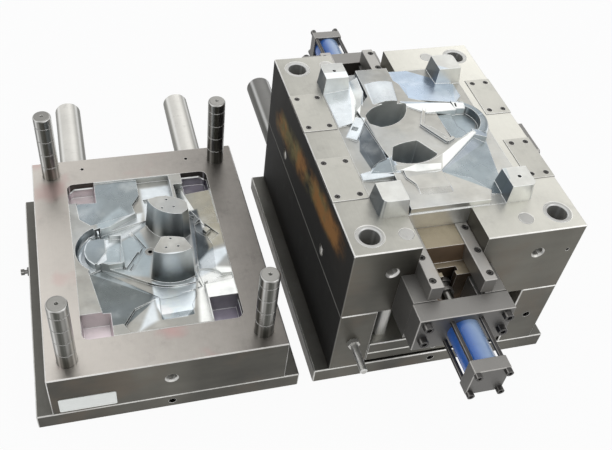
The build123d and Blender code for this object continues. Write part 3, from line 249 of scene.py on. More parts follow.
class Finish:
    """A node material under construction around one Principled shader."""

    def __init__(self, name):
        self.material = bpy.data.materials.new(name)
        self.material.use_nodes = True
        self.tree = self.material.node_tree
        self.tree.nodes.clear()
        self.shader = self.tree.nodes.new("ShaderNodeBsdfPrincipled")
        output = self.tree.nodes.new("ShaderNodeOutputMaterial")
        self.tree.links.new(self.shader.outputs[0], output.inputs[0])
        self.coords = self.node("ShaderNodeTexCoord", out="Object")
        self.x, self.y, self.z = self.split(self.coords)
        self.normal = self.node("ShaderNodeNewGeometry", out="Normal")
        self.nx, self.ny, self.up = self.split(self.normal)

    def node(self, kind, settings=None, values=None, out=0):
        """Any node: its settings first, then its sockets' values or links, and one output as a Sock."""
        node = self.tree.nodes.new(kind)
        for key, value in (settings or {}).items():
            setattr(node, key, value)
        for key, value in (values or {}).items():
            self.feed(node.inputs[key], value)
        return Sock(self, node.outputs[out])

    def feed(self, socket, value):
        if isinstance(value, Sock):
            self.tree.links.new(value.link, socket)
        else:
            socket.default_value = value

    def split(self, vector):
        """The three parts of a vector."""
        node = self.tree.nodes.new("ShaderNodeSeparateXYZ")
        self.feed(node.inputs[0], vector)
        return [Sock(self, output) for output in node.outputs]

    def join(self, x, y, z):
        return self.node("ShaderNodeCombineXYZ", None, {0: x, 1: y, 2: z})

    def dot(self, first, second):
        """The dot product of two vectors."""
        return self.node("ShaderNodeVectorMath", {"operation": "DOT_PRODUCT"}, {0: first, 1: second}, out=1)

    def noise(self, scale, detail=3.0, rough=0.55, vector=None):
        """Cloudy noise between nought and one."""
        values = {"Vector": vector or self.coords, "Scale": scale, "Detail": detail, "Roughness": rough}
        return self.node("ShaderNodeTexNoise", None, values)

    def streaks(self, scales, rough):
        """Noise stretched into lines: object coordinates with each axis scaled by its own number."""
        stretched = self.join(self.x * scales[0], self.y * scales[1], self.z * scales[2])
        return self.noise(1.0, 2.0, rough, stretched)

    def mix(self, mask, first, second):
        """One colour into another by a mask."""
        settings = {"data_type": "RGBA", "blend_type": "MIX"}
        values = {0: mask, 6: self.rgba(first), 7: self.rgba(second)}
        return self.node("ShaderNodeMix", settings, values, out=2)

    def tint(self, colour_sock, amount):
        """A colour made lighter or darker by a factor that varies."""
        grey = self.join(amount, amount, amount)
        settings = {"data_type": "RGBA", "blend_type": "MULTIPLY"}
        return self.node("ShaderNodeMix", settings, {0: 1.0, 6: self.rgba(colour_sock), 7: grey}, out=2)

    @staticmethod
    def rgba(value):
        return value if isinstance(value, Sock) else (*value, 1.0)

    def region(self, points, place, soft=CRISP):
        """A mask over a convex outline seen from above, given anticlockwise in millimetres.

        The least of the distances inward from its sides runs from nought to one over the soft width.
        """
        inside = None
        for (x0, y0), (x1, y1) in zip(points, points[1:] + points[:1]):
            run = math.hypot(x1 - x0, y1 - y0)
            across = ((y0 - y1) / run, (x1 - x0) / run, 0)
            start = (x0 * across[0] + y0 * across[1]) / MM
            depth = self.dot(place, across) - start
            inside = depth if inside is None else inside.least(depth)
        return inside.between(0.0, soft)

    def rounded(self, radius):
        """The normal as if each edge were rounded by a radius."""
        return self.node("ShaderNodeBevel", {"samples": SAMPLES}, {"Radius": radius})

    def wear_and_highlight(self, rounded):
        """One along an edge and on its chamfer, nought inside a face: rubbed edges with a painted highlight.

        The rounded normal turns from the face near an edge. A chamfer's own normal lies between the axes, and
        so does a round wall's in places; these faces take the painted highlight whole.
        """
        turned = 1 - self.dot(rounded, self.normal)
        largest = self.nx.size().most(self.ny.size()).most(self.up.size())
        return turned.between(0.004, 0.10).most(1 - largest.between(0.72, 0.86))

    def grime(self, distance):
        """Grime and painted shade that gather in corners and holes, by occlusion: nought in the open, one
        deep inside.
        """
        values = {"Distance": distance}
        open_share = self.node("ShaderNodeAmbientOcclusion", {"samples": SAMPLES}, values, out=1)
        return (1 - open_share).between(0.30, 0.95)

    def bump(self, height, distance, strength=1.0, normal=None):
        values = {"Strength": strength, "Distance": distance, "Height": height}
        if normal is not None:
            values["Normal"] = normal
        return self.node("ShaderNodeBump", None, values)

    def set(self, **values):
        """Feeds the Principled shader, each socket named in lower case."""
        for key, value in values.items():
            self.feed(self.shader.inputs[key.replace("_", " ").title()], value)
        return self.material


def colours():
    return bpy.context.scene.mould_colours


def sizes():
    return bpy.context.scene.mould_sizes


def scaled(tone, *factors):
    """A colour with its parts scaled, by one factor or by one for each part."""
    return tuple(part * factor for part, factor in zip(tone, factors * 3))


def dress(material, *nodes):
    """Gives each named CAD node one material."""
    for name in nodes:
        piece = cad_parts[name]
        piece.data.materials.clear()
        piece.data.materials.append(material)


def every(*words):
    """The CAD nodes whose names end with one of the words."""
    return [name for name in sorted(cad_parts) if name.endswith(words)]


# Finishes

def ground_plate(name, top, side, grime=0.5, lean=(0.0, 0.0), left=0.0, streak=False, dye=False):
    """A ground plate: bright warm top with grinder's lines, and dark sides, oiled and partly painted shade.

    Its edges are rubbed bright in patches, with painted highlights. The top grows lighter along X by lean's
    second number in a metre, from its first number in X, as a painted light gradient. The core half's left
    faces are darkened by left as painted shade, with less metal, and the edges there stay dark below the top.
    """
    f = Finish(name)
    c = colours()
    rounded = f.rounded(sizes().edge)
    edge = f.wear_and_highlight(rounded)
    facing = f.up.between(0.55, 0.85)
    cloud = f.noise(7.0, 5.0, 0.6)
    side_reflection = f.noise(2.6, 3.0, 0.5, f.join(f.x, f.y, f.z * 0.35))
    fine = f.noise(60.0, 4.0, 0.6)
    lines = f.streaks((1 / sizes().grind_pitch, 9, 9), 0.7)
    stain = f.noise(16.0, 6.0, 0.65).between(0.52, 0.75)
    # A painted light gradient across the top
    light_gradient = (f.x - lean[0]) * lean[1]
    top_colour = f.tint(top, light_gradient + 0.66 + cloud * 0.34 + lines * 0.10 + fine * 0.12 - stain * 0.14)
    rub = f.streaks((5, 5, 24), 0.6)
    # Sides: oiled scale, with painted reflections in broad patches
    side_colour = f.tint(side, 0.12 + cloud * 0.75 + rub * 0.45 + side_reflection.between(0.38, 0.66) * 0.85)
    warm_patch = f.noise(3.4, 4.0, 0.6, f.join(f.x + 1.7, f.y, f.z)).between(0.50, 0.68)
    side_colour = f.mix(warm_patch * 0.45, side_colour, c.warm_scale)
    face = 1 - f.x.between(LEFT_FACE + 0.0005, LEFT_FACE + 0.0010)
    # Painted shade on the core half's left faces, and their edges kept dark below the top
    if left:
        side_colour = f.tint(side_colour, 1 - face * left)
        lower = 1 - f.z.between(PARTING_Z - 0.007, PARTING_Z - 0.005)
        beside = 1 - f.x.between(LEFT_FACE + 0.0035, LEFT_FACE + 0.0040)
        edge = edge * (1 - beside * lower * 0.9)
    if streak:
        across = ((f.z - STREAK_Z - f.y * STREAK_FALL) / STREAK_HALF_W).size()
        along = 1 - ((f.y - STREAK_Y) / STREAK_HALF_L).size().between(0.55, 1.0)
        ragged = f.noise(15.0, 6.0, 0.65, f.join(f.x, f.y * 0.6, f.z)) * 2.2 - 0.55
        mask = (1 - across.between(0.1, 1.25)) * along * ragged * face
        patchy = f.noise(9.0, 4.0, 0.6, f.join(f.x, f.y, f.z + 2.3)).between(0.44, 0.60)
        side_colour = f.mix(mask.between(0.08, 0.62), side_colour, f.mix(patchy, c.rust, c.olive))
    if dye:
        spot = f.noise(5.5, 3.0, 0.5, f.join(f.x + 3.1, f.y, f.z)).between(0.60, 0.74)
        top_colour = f.mix(spot * 0.28, top_colour, c.marking)
    # Tops over sides, the sides' darkness partly painted shade
    body = f.mix(facing, side_colour, top_colour)
    # Grime and painted shade, laid in corners by occlusion
    grease_and_shade = f.grime(0.09) * f.noise(24.0, 5.0, 0.65).between(0.34, 0.62)
    body = f.mix(f.grime(0.02).most(grease_and_shade) * 0.85, body, c.dirt_and_shade)
    rubbed = f.noise(5.0, 4.0, 0.6).between(0.30, 0.66)
    # Rubbed edges with painted highlights
    worn_and_highlit = f.mix(edge * (0.22 + rubbed * 0.45 + fine * 0.45), body, c.plate_edge)
    rough = 0.36 + facing * -0.08 + cloud * 0.20 - stain * 0.06 - edge * 0.08 + face * (left * 0.35)
    # Less metal on the left faces, as part of their painted shade
    metal = (0.75 + facing * 0.2) * (1 - face * (left * 0.75))
    height = lines * facing + fine * 0.5 * grime + f.noise(220.0, 2.0) * 0.25
    return f.set(base_color=worn_and_highlit, metallic=metal, roughness=rough,
                 normal=f.bump(height, sizes().grind_depth, 0.6, rounded))


def moulding_steel(name, land, slope, regions, hollows, lean, flip=False, open_walls=0.0):
    """A milled and polished insert: cutter paths on level faces, facets toned with painted light, shade and
    reflections, painted shade on deep walls, and painted highlights on the edges.

    The regions are outlines on the core with their colours, and the hollows are outlines whose walls run from
    one colour to another between two heights, painted shade below and painted light above; on the cavity they
    lie mirrored. Level faces grow lighter along X and Y by lean's two numbers in a metre, a painted light
    gradient. The walls' shade is less by open_walls.
    """
    f = Finish(name)
    c = colours()
    from_middle = f.x + PITCH if flip else f.x
    place = f.join(f.x * -1 - PITCH, f.y, f.z) if flip else f.coords
    rounded = f.rounded(sizes().polished_edge)
    edge = f.wear_and_highlight(rounded)
    level = f.up.between(LEVEL_LOW, LEVEL_HIGH)
    wall = 1 - f.up.between(0.10, 0.60)
    cloud = f.noise(9.0, 5.0, 0.6)
    soft = f.noise(4.2, 3.0, 0.5)
    hand = f.noise(26.0, 3.0, 0.55)
    fine = f.noise(70.0, 4.0, 0.6)
    path = f.streaks((9, 1 / sizes().mill_pitch, 9), 0.7)
    smear = f.streaks((14, 14, 3), 0.6)
    # Level faces and slopes in separate tones, with a painted light gradient on the level faces
    body = f.mix(level, slope, f.tint(land, from_middle * lean[0] + f.y * lean[1] + 1))
    for tone, points, edge_width in regions:
        body = f.mix(f.region(points, place, edge_width), body, tone)
    # Painted reflections in mottled light and dark patches
    reflection_patch = f.noise(13.0, 3.0, 0.5)
    body = f.mix(reflection_patch.between(0.50, 0.74) * 0.17, body, c.bright)
    body = f.mix((1 - reflection_patch).between(0.52, 0.76) * 0.26, body, c.shadow)
    # Painted sky-blue reflection in soft patches
    body = f.mix(soft.between(0.45, 0.75) * 0.20, body, c.blue)
    # Painted highlight on the tops of the interlock blocks
    lock_top_highlight = level * f.z.between(LOCK_TOP_Z - 0.010, LOCK_TOP_Z - 0.009)
    body = f.mix(lock_top_highlight * 0.35, body, c.bright)
    # Painted light on faces that look to the front
    body = f.mix(f.ny.between(-0.6, -0.95), body, c.bright)
    body = f.tint(body, 0.50 + cloud * 0.62 + hand * 0.26 + path * level * 0.10 + fine * 0.10)
    away = (f.nx * (1 if flip else -1)).between(0.35, 0.9)
    body = f.mix(wall * away * (0.65 - open_walls), body, c.shaded)
    # Grime and painted shade in corners, by occlusion
    body = f.mix(f.grime(0.030) * 0.50, body, c.soot_and_shade)
    steep = 1 - f.up.between(0.30, 0.45)
    # Hollow walls: painted shade low down, painted light near the top
    for low, high, low_tone, high_tone, points in hollows:
        shade = f.mix((f.z + hand * 0.02 - 0.01).between(low, high), low_tone, high_tone)
        shade = f.tint(shade, 0.55 + cloud * 0.45 + smear * 0.45)
        body = f.mix(f.region(points, place) * steep, body, shade)
    # Painted highlight along the edges of the inserts
    worn_and_highlit = f.mix(edge * 0.75, body, c.insert_edge_highlight)
    rough = 0.17 + level * 0.12 + cloud * 0.20 + wall * 0.06
    height = path * level + smear * 0.5 + cloud * 0.8 + fine * 0.3 + hand * 3.0
    return f.set(base_color=worn_and_highlit, metallic=0.92, roughness=rough,
                 normal=f.bump(height, sizes().mill_depth, 0.8, rounded))


def turned_steel(name, base, dull=0.0, axis=2, metal=0.96, reflection_bands=0.0, shaded_flanks=0.0):
    """Turned and ground round stock: fine rings round its axis, with scuffs, and thin oil with painted shade
    in its grooves.

    Dark and light streaks run along the stock as painted reflections, each over its own share of the turn,
    and lying stock has painted shade on its sides.
    """
    f = Finish(name)
    c = colours()
    rounded = f.rounded(sizes().turned_edge)
    edge = f.wear_and_highlight(rounded)
    ring = [6, 6, 6]
    ring[axis] = 900
    lines = f.streaks(ring, 0.6)
    cloud = f.noise(14.0, 5.0, 0.6)
    scuff = f.noise(46.0, 6.0, 0.7).between(0.55, 0.72)
    body = f.tint(base, 0.74 + cloud * 0.34 + lines * 0.16 - scuff * 0.12)
    # Painted reflections: dark and light streaks round the turn
    if reflection_bands:
        turn = f.noise(1.3, 2.0, 0.5, f.normal)
        beside = (1 - f.up.between(0.6, 0.9)) * reflection_bands
        body = f.mix((1 - turn).between(0.44, 0.66) * beside, body, c.dark_reflection_band)
        body = f.mix(turn.between(0.52, 0.72) * beside * 0.8, body, c.bright)
    # Painted shade on the sides of lying stock
    if shaded_flanks:
        shaded = f.nx.between(0.15, 0.80).most((f.nx * -1).between(0.70, 1.0))
        body = f.mix(shaded * shaded_flanks, body, c.flank_shade)
    # Thin oil and painted shade in grooves, by occlusion
    body = f.mix(f.grime(0.006) * 0.9, body, c.pin_oil_and_shade)
    # Rubbed edges with painted highlights
    worn_and_highlit = f.mix(edge * 0.6, body, c.turned_edge)
    rough = 0.22 + dull * 0.25 + cloud * 0.14 + scuff * 0.10
    return f.set(base_color=worn_and_highlit, metallic=metal, roughness=rough,
                 normal=f.bump(lines + scuff * 0.5, sizes().turn_depth, 0.6, rounded))


def dark_bracket(name, base, warm=0.0):
    """Phosphated bracket steel: near black, with a top lighter from rubbing and painted light, and rubbed
    bright edges with painted highlights.
    """
    f = Finish(name)
    rounded = f.rounded(sizes().edge)
    edge = f.wear_and_highlight(rounded)
    cloud = f.noise(12.0, 5.0, 0.6)
    grain = f.noise(300.0, 2.0)
    facing = f.up.between(0.6, 0.9)
    # The top lighter from rubbing and from painted light
    body = f.tint(base, 0.65 + cloud * 0.7 + facing * 0.75 + grain * 0.15)
    body = f.mix(cloud.between(0.45, 0.8) * warm, body, colours().gib_warm)
    # Rubbed edges with painted highlights
    worn_and_highlit = f.mix(edge * (0.25 + cloud * 0.8), body, colours().bracket_edge)
    return f.set(base_color=worn_and_highlit, metallic=0.75, roughness=0.42 + cloud * 0.16 - edge * 0.1,
                 normal=f.bump(grain + cloud * 0.4, sizes().grind_depth, 0.7, rounded))


def black_screw(name):
    """Black oxide cap screws with rubbed rims and painted highlights on them."""
    f = Finish(name)
    rounded = f.rounded(sizes().screw_edge)
    edge = f.wear_and_highlight(rounded)
    cloud = f.noise(40.0, 4.0, 0.6)
    knurl = f.noise(700.0, 1.0)
    body = f.tint(colours().oxide, 0.6 + cloud * 1.1)
    # Rubbed rims with painted highlights
    worn_and_highlit = f.mix(edge * (0.3 + cloud * 0.7), body, colours().screw_edge)
    return f.set(base_color=worn_and_highlit, metallic=0.7, roughness=0.38 + cloud * 0.18,
                 normal=f.bump(knurl, sizes().skin_depth, 0.6, rounded))


def enamel(name):
    """Blue enamel on the cylinder tubes: slight orange peel, a painted highlight on top and chips by the
    ends.
    """
    f = Finish(name)
    peel = f.noise(240.0, 2.0, 0.5)
    cloud = f.noise(18.0, 4.0, 0.6)
    chip = f.noise(95.0, 5.0, 0.65).between(0.665, 0.70)
    body = f.tint(colours().paint, 0.75 + cloud * 0.5)
    # Painted highlight on the tube's upper side
    lit = (f.nx * 0.6 + f.up * 0.8).between(0.35, 1.0) * (0.45 + cloud * 0.5)
    highlit = f.mix(lit.least(1), body, colours().enamel_highlight)
    chipped = f.mix(chip, highlit, colours().bared)
    return f.set(base_color=chipped, metallic=chip * 0.8, roughness=0.26 + cloud * 0.14 + chip * 0.2,
                 coat_weight=0.4 - chip * 0.4,
                 normal=f.bump(peel - chip * 1.5, sizes().skin_depth, 0.5))


def bare_nameplate(name):
    """Brushed aluminium with lines along its length and a few dents."""
    f = Finish(name)
    lines = f.streaks((9, 9, 1100), 0.6)
    cloud = f.noise(30.0, 4.0, 0.6)
    body = f.tint(colours().plate_metal, 0.78 + lines * 0.18 + cloud * 0.16)
    return f.set(base_color=body, metallic=0.85, roughness=0.34 + cloud * 0.12,
                 normal=f.bump(lines + cloud * 0.6, sizes().skin_depth, 0.6))


# Meshes from arrays

def grid_mesh(points, wrap_u=False, wrap_v=False):
    """Vertices and quads of a grid of points, rows by columns, closed round in either direction."""
    rows, columns = points.shape[:2]
    u = np.arange(rows if wrap_u else rows - 1)[:, None]
    v = np.arange(columns if wrap_v else columns - 1)[None, :]
    u2 = (u + 1) % rows
    v2 = (v + 1) % columns
    quads = np.stack([u * columns + v, u2 * columns + v, u2 * columns + v2, u * columns + v2], axis=-1)
    return points.reshape(-1, 3), quads.reshape(-1, 4)


def add_piece(name, parts, material, body):
    """One object from several vertex and quad arrays, shaded smooth, riding on its body."""
    verts = []
    faces = []
    start = 0
    for points, quads in parts:
        verts.append(points)
        faces.append(quads + start)
        start += len(points)
    mesh = bpy.data.meshes.new(name)
    mesh.from_pydata(np.concatenate(verts).tolist(), [], np.concatenate(faces).tolist())
    mesh.shade_smooth()
    mesh.materials.append(material)
    piece = bpy.data.objects.new(name, mesh)
    bpy.context.scene.collection.objects.link(piece)
    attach(piece, body)


def thread(place, axis, radius, pitch, turns, depth):
    """Internal thread: a helix of constant lead, its section a triangle wave of the given depth inward.

    A point turns by angle a and moves along the axis by lead times a over a full turn; the crest stands
    inward by depth where the wave peaks.
    """
    section = np.array([(0.0, 0.0), (0.42, 1.0), (0.58, 1.0), (1.0, 0.0)])
    angle = np.linspace(0, 2 * math.pi * turns, THREAD_STEPS * turns + 1)
    along = angle[:, None] / (2 * math.pi) * pitch + section[None, :, 0] * pitch
    r = radius - section[None, :, 1] * depth
    local = np.stack([r * np.cos(angle)[:, None], r * np.sin(angle)[:, None], along], axis=-1)
    turn = np.array(Vector((0, 0, 1)).rotation_difference(Vector(axis)).to_matrix())
    return grid_mesh(local @ turn.T + np.array(place))


def dome(place, radius, rise):
    """A rivet head on a face that looks along -Y.

    At share s of the radius it stands out by rise times 1 - s squared.
    """
    share = np.linspace(1, 0.02, DOME_RINGS)[:, None]
    angle = np.linspace(0, 2 * math.pi, DOME_STEPS, endpoint=False)[None, :]
    x = radius * share * np.cos(angle)
    z = radius * share * np.sin(angle)
    y = -rise * (1 - share ** 2) * np.ones_like(angle)
    return grid_mesh(np.stack([x, y, z], axis=-1) + np.array(place), wrap_v=True)


def raised_rim(place, half_width, half_height, section):
    """A half round bead along a rounded rectangle on a face that looks along -Y.

    The path is the superellipse of power ten; across it the bead stands out by half its section times the
    sine of half a turn.
    """
    angle = np.linspace(0, 2 * math.pi, RIM_STEPS, endpoint=False)[:, None]
    across = np.linspace(0, math.pi, RIM_ARC)[None, :]
    reach = section * np.cos(across)
    cos, sin = np.cos(angle), np.sin(angle)
    x = (half_width + reach) * np.sign(cos) * np.abs(cos) ** (2 / RIM_POWER)
    z = (half_height + reach) * np.sign(sin) * np.abs(sin) ** (2 / RIM_POWER)
    y = -section * 0.5 * np.sin(across) * np.ones_like(angle)
    return grid_mesh(np.stack([x, y, z], axis=-1) + np.array(place), wrap_u=True)


# Operators

class MOULD_OT_plates(bpy.types.Operator):
    """Finish the clamp plates, spacers and the two mould plates"""
    bl_idname = "mould.plates"
    bl_label = "Plates"

    def execute(self, context):
        c = colours()
        dress(ground_plate("core_plate_ground", c.ground, c.scale, lean=(0.0, 1.1), left=0.92, streak=True),
              "core_plate")
        cavity_top = scaled(c.ground, 0.70, 0.67, 0.68)
        dress(ground_plate("cavity_plate_ground", cavity_top, c.scale, lean=(-PITCH, -1.6), dye=True),
              "cavity_plate")
        dull = scaled(c.ground, 0.23)
        dress(ground_plate("spacer_scale", dull, c.scale, 0.9, left=0.92), "spacer_block_left",
              "spacer_block_right")
        dress(ground_plate("clamp_scale", dull, c.scale, 0.9), "core_clamp_plate", "cavity_clamp_plate")
        # The ejector plates' tops made lighter: painted light
        dress(ground_plate("ejector_painted_light", scaled(c.ground, 1.5), c.scale, 0.9), "ejector_plate",
              "ejector_retainer_plate")
        return {"FINISHED"}


def core_tones():
    """Outlines of the core's facets in millimetres, each with the colour of painted light and shade it shows
    and its edge's width.
    """
    c = colours()
    tones = [
        (c.grey, [(-2, -163), (100, -247), (141, -249), (172, -56)]),
        (scaled(c.blue, 0.80), [(20, 136), (150, 106), (184, 196), (68, 277), (4, 277)]),
        (c.pale, [(-203, 60), (-158, 66), (-128, 150), (-118, 236), (-203, 236)]),
        (c.bright, [(-166, 60), (-150, 52), (-103, 168), (-100, 236), (-120, 236)]),
        (c.pale, [(-196, 18), (-172, -2), (-150, 30), (-126, 70), (-150, 84)]),
        (scaled(c.pale, 0.78), [(-90, 122), (-20, 118), (-6, 204), (-86, 214)]),
        (c.dark, [(-178, -40), (-168, -118), (-120, -96), (-128, 66), (-160, 16)]),
        (c.grey, [(74, 56), (84, -40), (150, -34), (177, 22), (141, 76)]),
        (c.shadow, [(150, -34), (165, -56), (203, 0), (206, 30), (177, 22)]),
        (c.shadow, [(177, 22), (206, 30), (198, 70), (146, 98), (141, 76)]),
        (c.bright, [(-12, 122), (2, 98), (46, 62), (156, 56), (160, 84), (124, 90)]),
        (c.bright, [(-119, -144), (-68, -160), (-2, -163), (21, -107), (-62, -131), (-114, -125)]),
        (c.bright, [(-2, -163), (144, -44), (140, -33), (71, -74), (21, -107)]),
        (c.insert, [(-100, -172), (-84, -236), (2, -240), (-2, -164)]),
        (c.pale, [(-203, -148), (-176, -152), (-114, -156), (-172, -124), (-203, -126)]),
        (c.shadow, [(-180, -133), (-114, -150), (-106, -90), (-152, -101)]),
    ]
    return [(tone, points, CRISP) for tone, points in tones]


def cavity_tones():
    """Outlines of the cavity's tones of painted light and shade, mirrored onto the core: soft patches, then
    the four tinted pockets.
    """
    c = colours()
    tones = [
        (c.grey, [(140, 14), (15, 98), (-12, -13), (8, -98), (143, -63)], SOFT),
        (c.shadow, [(184, 196), (124, 282), (15, 282), (15, 200), (62, 189), (141, 118)], SOFT),
        (c.grey, [(141, 124), (62, 189), (29, 144), (142, 39)], SOFT),
        (c.deep, [(172, -56), (-2, -163), (100, -247), (141, -249)], CRISP),
        (c.tan, [(-118, 236), (-203, 236), (-222, 124), (-221, -21), (-150, -44), (-122, 150)], SOFT),
        (c.bright, [(-100, 236), (-120, 236), (-166, 60), (-150, 52), (-103, 168)], CRISP),
        (c.dark, [(-124, 134), (-158, 138), (-165, -26), (-152, -50), (-111, -74)], SOFT * 0.6),
        (c.pale, [(4, 258), (-98, 262), (-96, 118), (4, 112)], SOFT),
        (c.pale, [(150, 22), (160, 48), (29, 158), (-6, 158), (8, 96), (132, 4)], SOFT),
        (c.sheen, [(-114, -108), (-90, -214), (-66, -240), (-2, -240), (12, -194), (15, -160), (13, -104)],
         SOFT * 0.5),
        (c.pale, [(6, -128), (4, -240), (78, -280)], SOFT),
        (c.pale, [(118, -20), (165, -56), (200, 22), (146, 96), (118, 70)], CRISP),
        (c.shadow, [(118, 10), (150, -34), (171, -9), (177, 20), (168, 50), (141, 76), (118, 60)], CRISP),
        (c.pale, [(-108, -72), (-148, -38), (-221, -22), (-221, -52), (-165, -109), (-110, -135)], SOFT),
        (c.bright, [(-106, -110), (-165, -93), (-215, -104), (-215, -275), (-84, -278)], SOFT),
    ]
    for side, tone in ((-1, c.violet), (1, c.lilac)):
        for end in (-1, 1):
            x, y = side * POCKET_X, end * POCKET_Y
            square = [(x - POCKET_HALF, y - POCKET_HALF), (x + POCKET_HALF, y - POCKET_HALF),
                      (x + POCKET_HALF, y + POCKET_HALF), (x - POCKET_HALF, y + POCKET_HALF)]
            tones.append((tone, square, CRISP))
    return tones


def bowl_walls(low, high, low_tone, high_tone):
    """The walls of both lamp bowls, or of the bosses that enter them, each with its two colours by height:
    painted shade low down and painted light above.
    """
    rear = [(-130, 20), (8, 20), (8, 128), (-130, 128)]
    front = [(-118, -132), (22, -132), (22, -26), (-118, -26)]
    return [(low, high, low_tone, high_tone, points) for points in (rear, front)]


class MOULD_OT_inserts(bpy.types.Operator):
    """Finish the moulding inserts"""
    bl_idname = "mould.inserts"
    bl_label = "Inserts"

    def execute(self, context):
        c = colours()
        bowls = bowl_walls(BOWL_LOW, BOWL_HIGH, c.slope, c.bright)
        core_land = scaled(c.insert, 0.80)
        dress(moulding_steel("core_moulding", core_land, c.slope, core_tones(), bowls, (1.0, -1.0)),
              "core_insert")
        cavity_land = scaled(c.insert, 0.66)
        bosses = bowl_walls(BOSS_LOW, BOSS_HIGH, scaled(c.deep, 0.5), c.pale)
        dress(moulding_steel("cavity_moulding", cavity_land, c.shadow, cavity_tones(), bosses, (-0.4, 0.0),
                             flip=True, open_walls=0.4),
              "cavity_insert")
        return {"FINISHED"}


class MOULD_OT_guides(bpy.types.Operator):
    """Finish the guide pins, bushes, legs, rods and wear pads"""
    bl_idname = "mould.guides"
    bl_label = "Guides and rods"

    def execute(self, context):
        c = colours()
        dress(turned_steel("pin_ground", c.turned, reflection_bands=0.85), "guide_pins")
        dress(turned_steel("guide_ground", c.turned), "ejector_pins", "sprue_bush", "locating_ring",
              "stop_buttons")
        # A lighter copy of the turned steel, with painted light in the bushes' bores
        light = scaled(c.turned, 2.0)
        dress(turned_steel("bush_ground", light, 0.2, metal=0.55), "guide_bushes", "return_pins",
              "support_pillars")
        dress(turned_steel("leg_turned", scaled(c.turned, 2.4), 0.8, axis=1, reflection_bands=0.25, shaded_flanks=0.70),
              "cavity_legs")
        dress(turned_steel("leg_dark", scaled(c.turned, 0.8), 0.8, axis=1, metal=0.6, reflection_bands=0.3, shaded_flanks=0.6),
              "core_legs")
        dress(turned_steel("rod_chromed", c.turned, axis=1), *every("piston_rod", "piston"))
        dress(turned_steel("rod_light", light, 0.3, axis=1, metal=0.7), "pull_rod")
        dress(turned_steel("fitting_turned", scaled(c.turned, 0.5), 0.5, axis=0), "side_fitting")
        dress(ground_plate("pad_dull", scaled(c.ground, 0.80), c.scale, 0.3), "wear_pads_left")
        dress(ground_plate("pad_ground", c.ground, c.scale, 0.3), "wear_pads_right")
        return {"FINISHED"}


class MOULD_OT_slides(bpy.types.Operator):
    """Finish the slide units, their brackets and cylinders"""
    bl_idname = "mould.slides"
    bl_label = "Slide units"

    def execute(self, context):
        c = colours()
        brackets = every("arm_left", "arm_right", "cross_plate", "cylinder_cap", "rod_coupling")
        dress(dark_bracket("bracket_dark", c.bracket), *brackets, "safety_strap")
        dress(dark_bracket("gib_dark", scaled(c.bracket, 1.7), 0.35), *every("gib_left", "gib_right"))
        slide_top = scaled(c.ground, 0.66, 0.58, 0.47)
        dress(ground_plate("slide_ground", slide_top, c.slide_side, 0.9), *every("slide_block"))
        dress(enamel("cylinder_enamel"), *every("cylinder_tube"))
        return {"FINISHED"}


class MOULD_OT_fasteners(bpy.types.Operator):
    """Finish the screws and the nameplate"""
    bl_idname = "mould.fasteners"
    bl_label = "Fasteners"

    def execute(self, context):
        dress(black_screw("screw_oxide"), *every("_screws"))
        dress(bare_nameplate("nameplate_brushed"), "nameplate")
        return {"FINISHED"}


class MOULD_OT_threads(bpy.types.Operator):
    """Cut the threads of the eyebolt holes"""
    bl_idname = "mould.threads"
    bl_label = "Eyebolt threads"

    def execute(self, context):
        pitch = sizes().eyebolt_pitch
        sides = (-1, 1)
        mouths = [((x, side * EYE_MOUTH_Y, EYE_FRONT_Z), (0, -side, 0))
                  for x in (-EYE_X, EYE_X) for side in sides]
        mouths += [((side * EYE_MOUTH_X, y, EYE_SIDE_Z), (-side, 0, 0))
                   for side in sides for y in (-EYE_SIDE_Y, EYE_SIDE_Y)]
        mouths += [((-PITCH, side * EYE_MOUTH_Y, EYE_CAVITY_Z), (0, -side, 0)) for side in sides]
        threads = [thread(place, axis, sizes().eyebolt_r, pitch, EYE_TURNS, pitch * EYE_DEPTH_SHARE)
                   for place, axis in mouths]
        material = turned_steel("thread_cut", scaled(colours().turned, 1.6), 0.2)
        add_piece("eyebolt_threads", threads, material, "mould")
        return {"FINISHED"}


class MOULD_OT_nameplate(bpy.types.Operator):
    """Add the nameplate's raised rim and its four rivets"""
    bl_idname = "mould.nameplate"
    bl_label = "Nameplate rim"

    def execute(self, context):
        corners = [(NAMEPLATE_X + side * RIVET_X, NAMEPLATE_Y, NAMEPLATE_Z + end * RIVET_Z)
                   for side in (-1, 1) for end in (-1, 1)]
        rivets = [dome(corner, RIVET_R, RIVET_RISE) for corner in corners]
        rim = raised_rim((NAMEPLATE_X, NAMEPLATE_Y, NAMEPLATE_Z), RIM_HALF_W, RIM_HALF_H, RIM_SECTION)
        add_piece("nameplate_rim", [rim, *rivets], bare_nameplate("rim_brushed"), "mould")
        return {"FINISHED"}


class MOULD_OT_stage(bpy.types.Operator):
    """Set up the floor, the studio lights and the camera"""
    bl_idname = "mould.stage"
    bl_label = "Studio"

    def execute(self, context):
        add_floor()
        add_lights()
        add_camera()
        context.scene.view_settings.view_transform = "Standard"
        return {"FINISHED"}


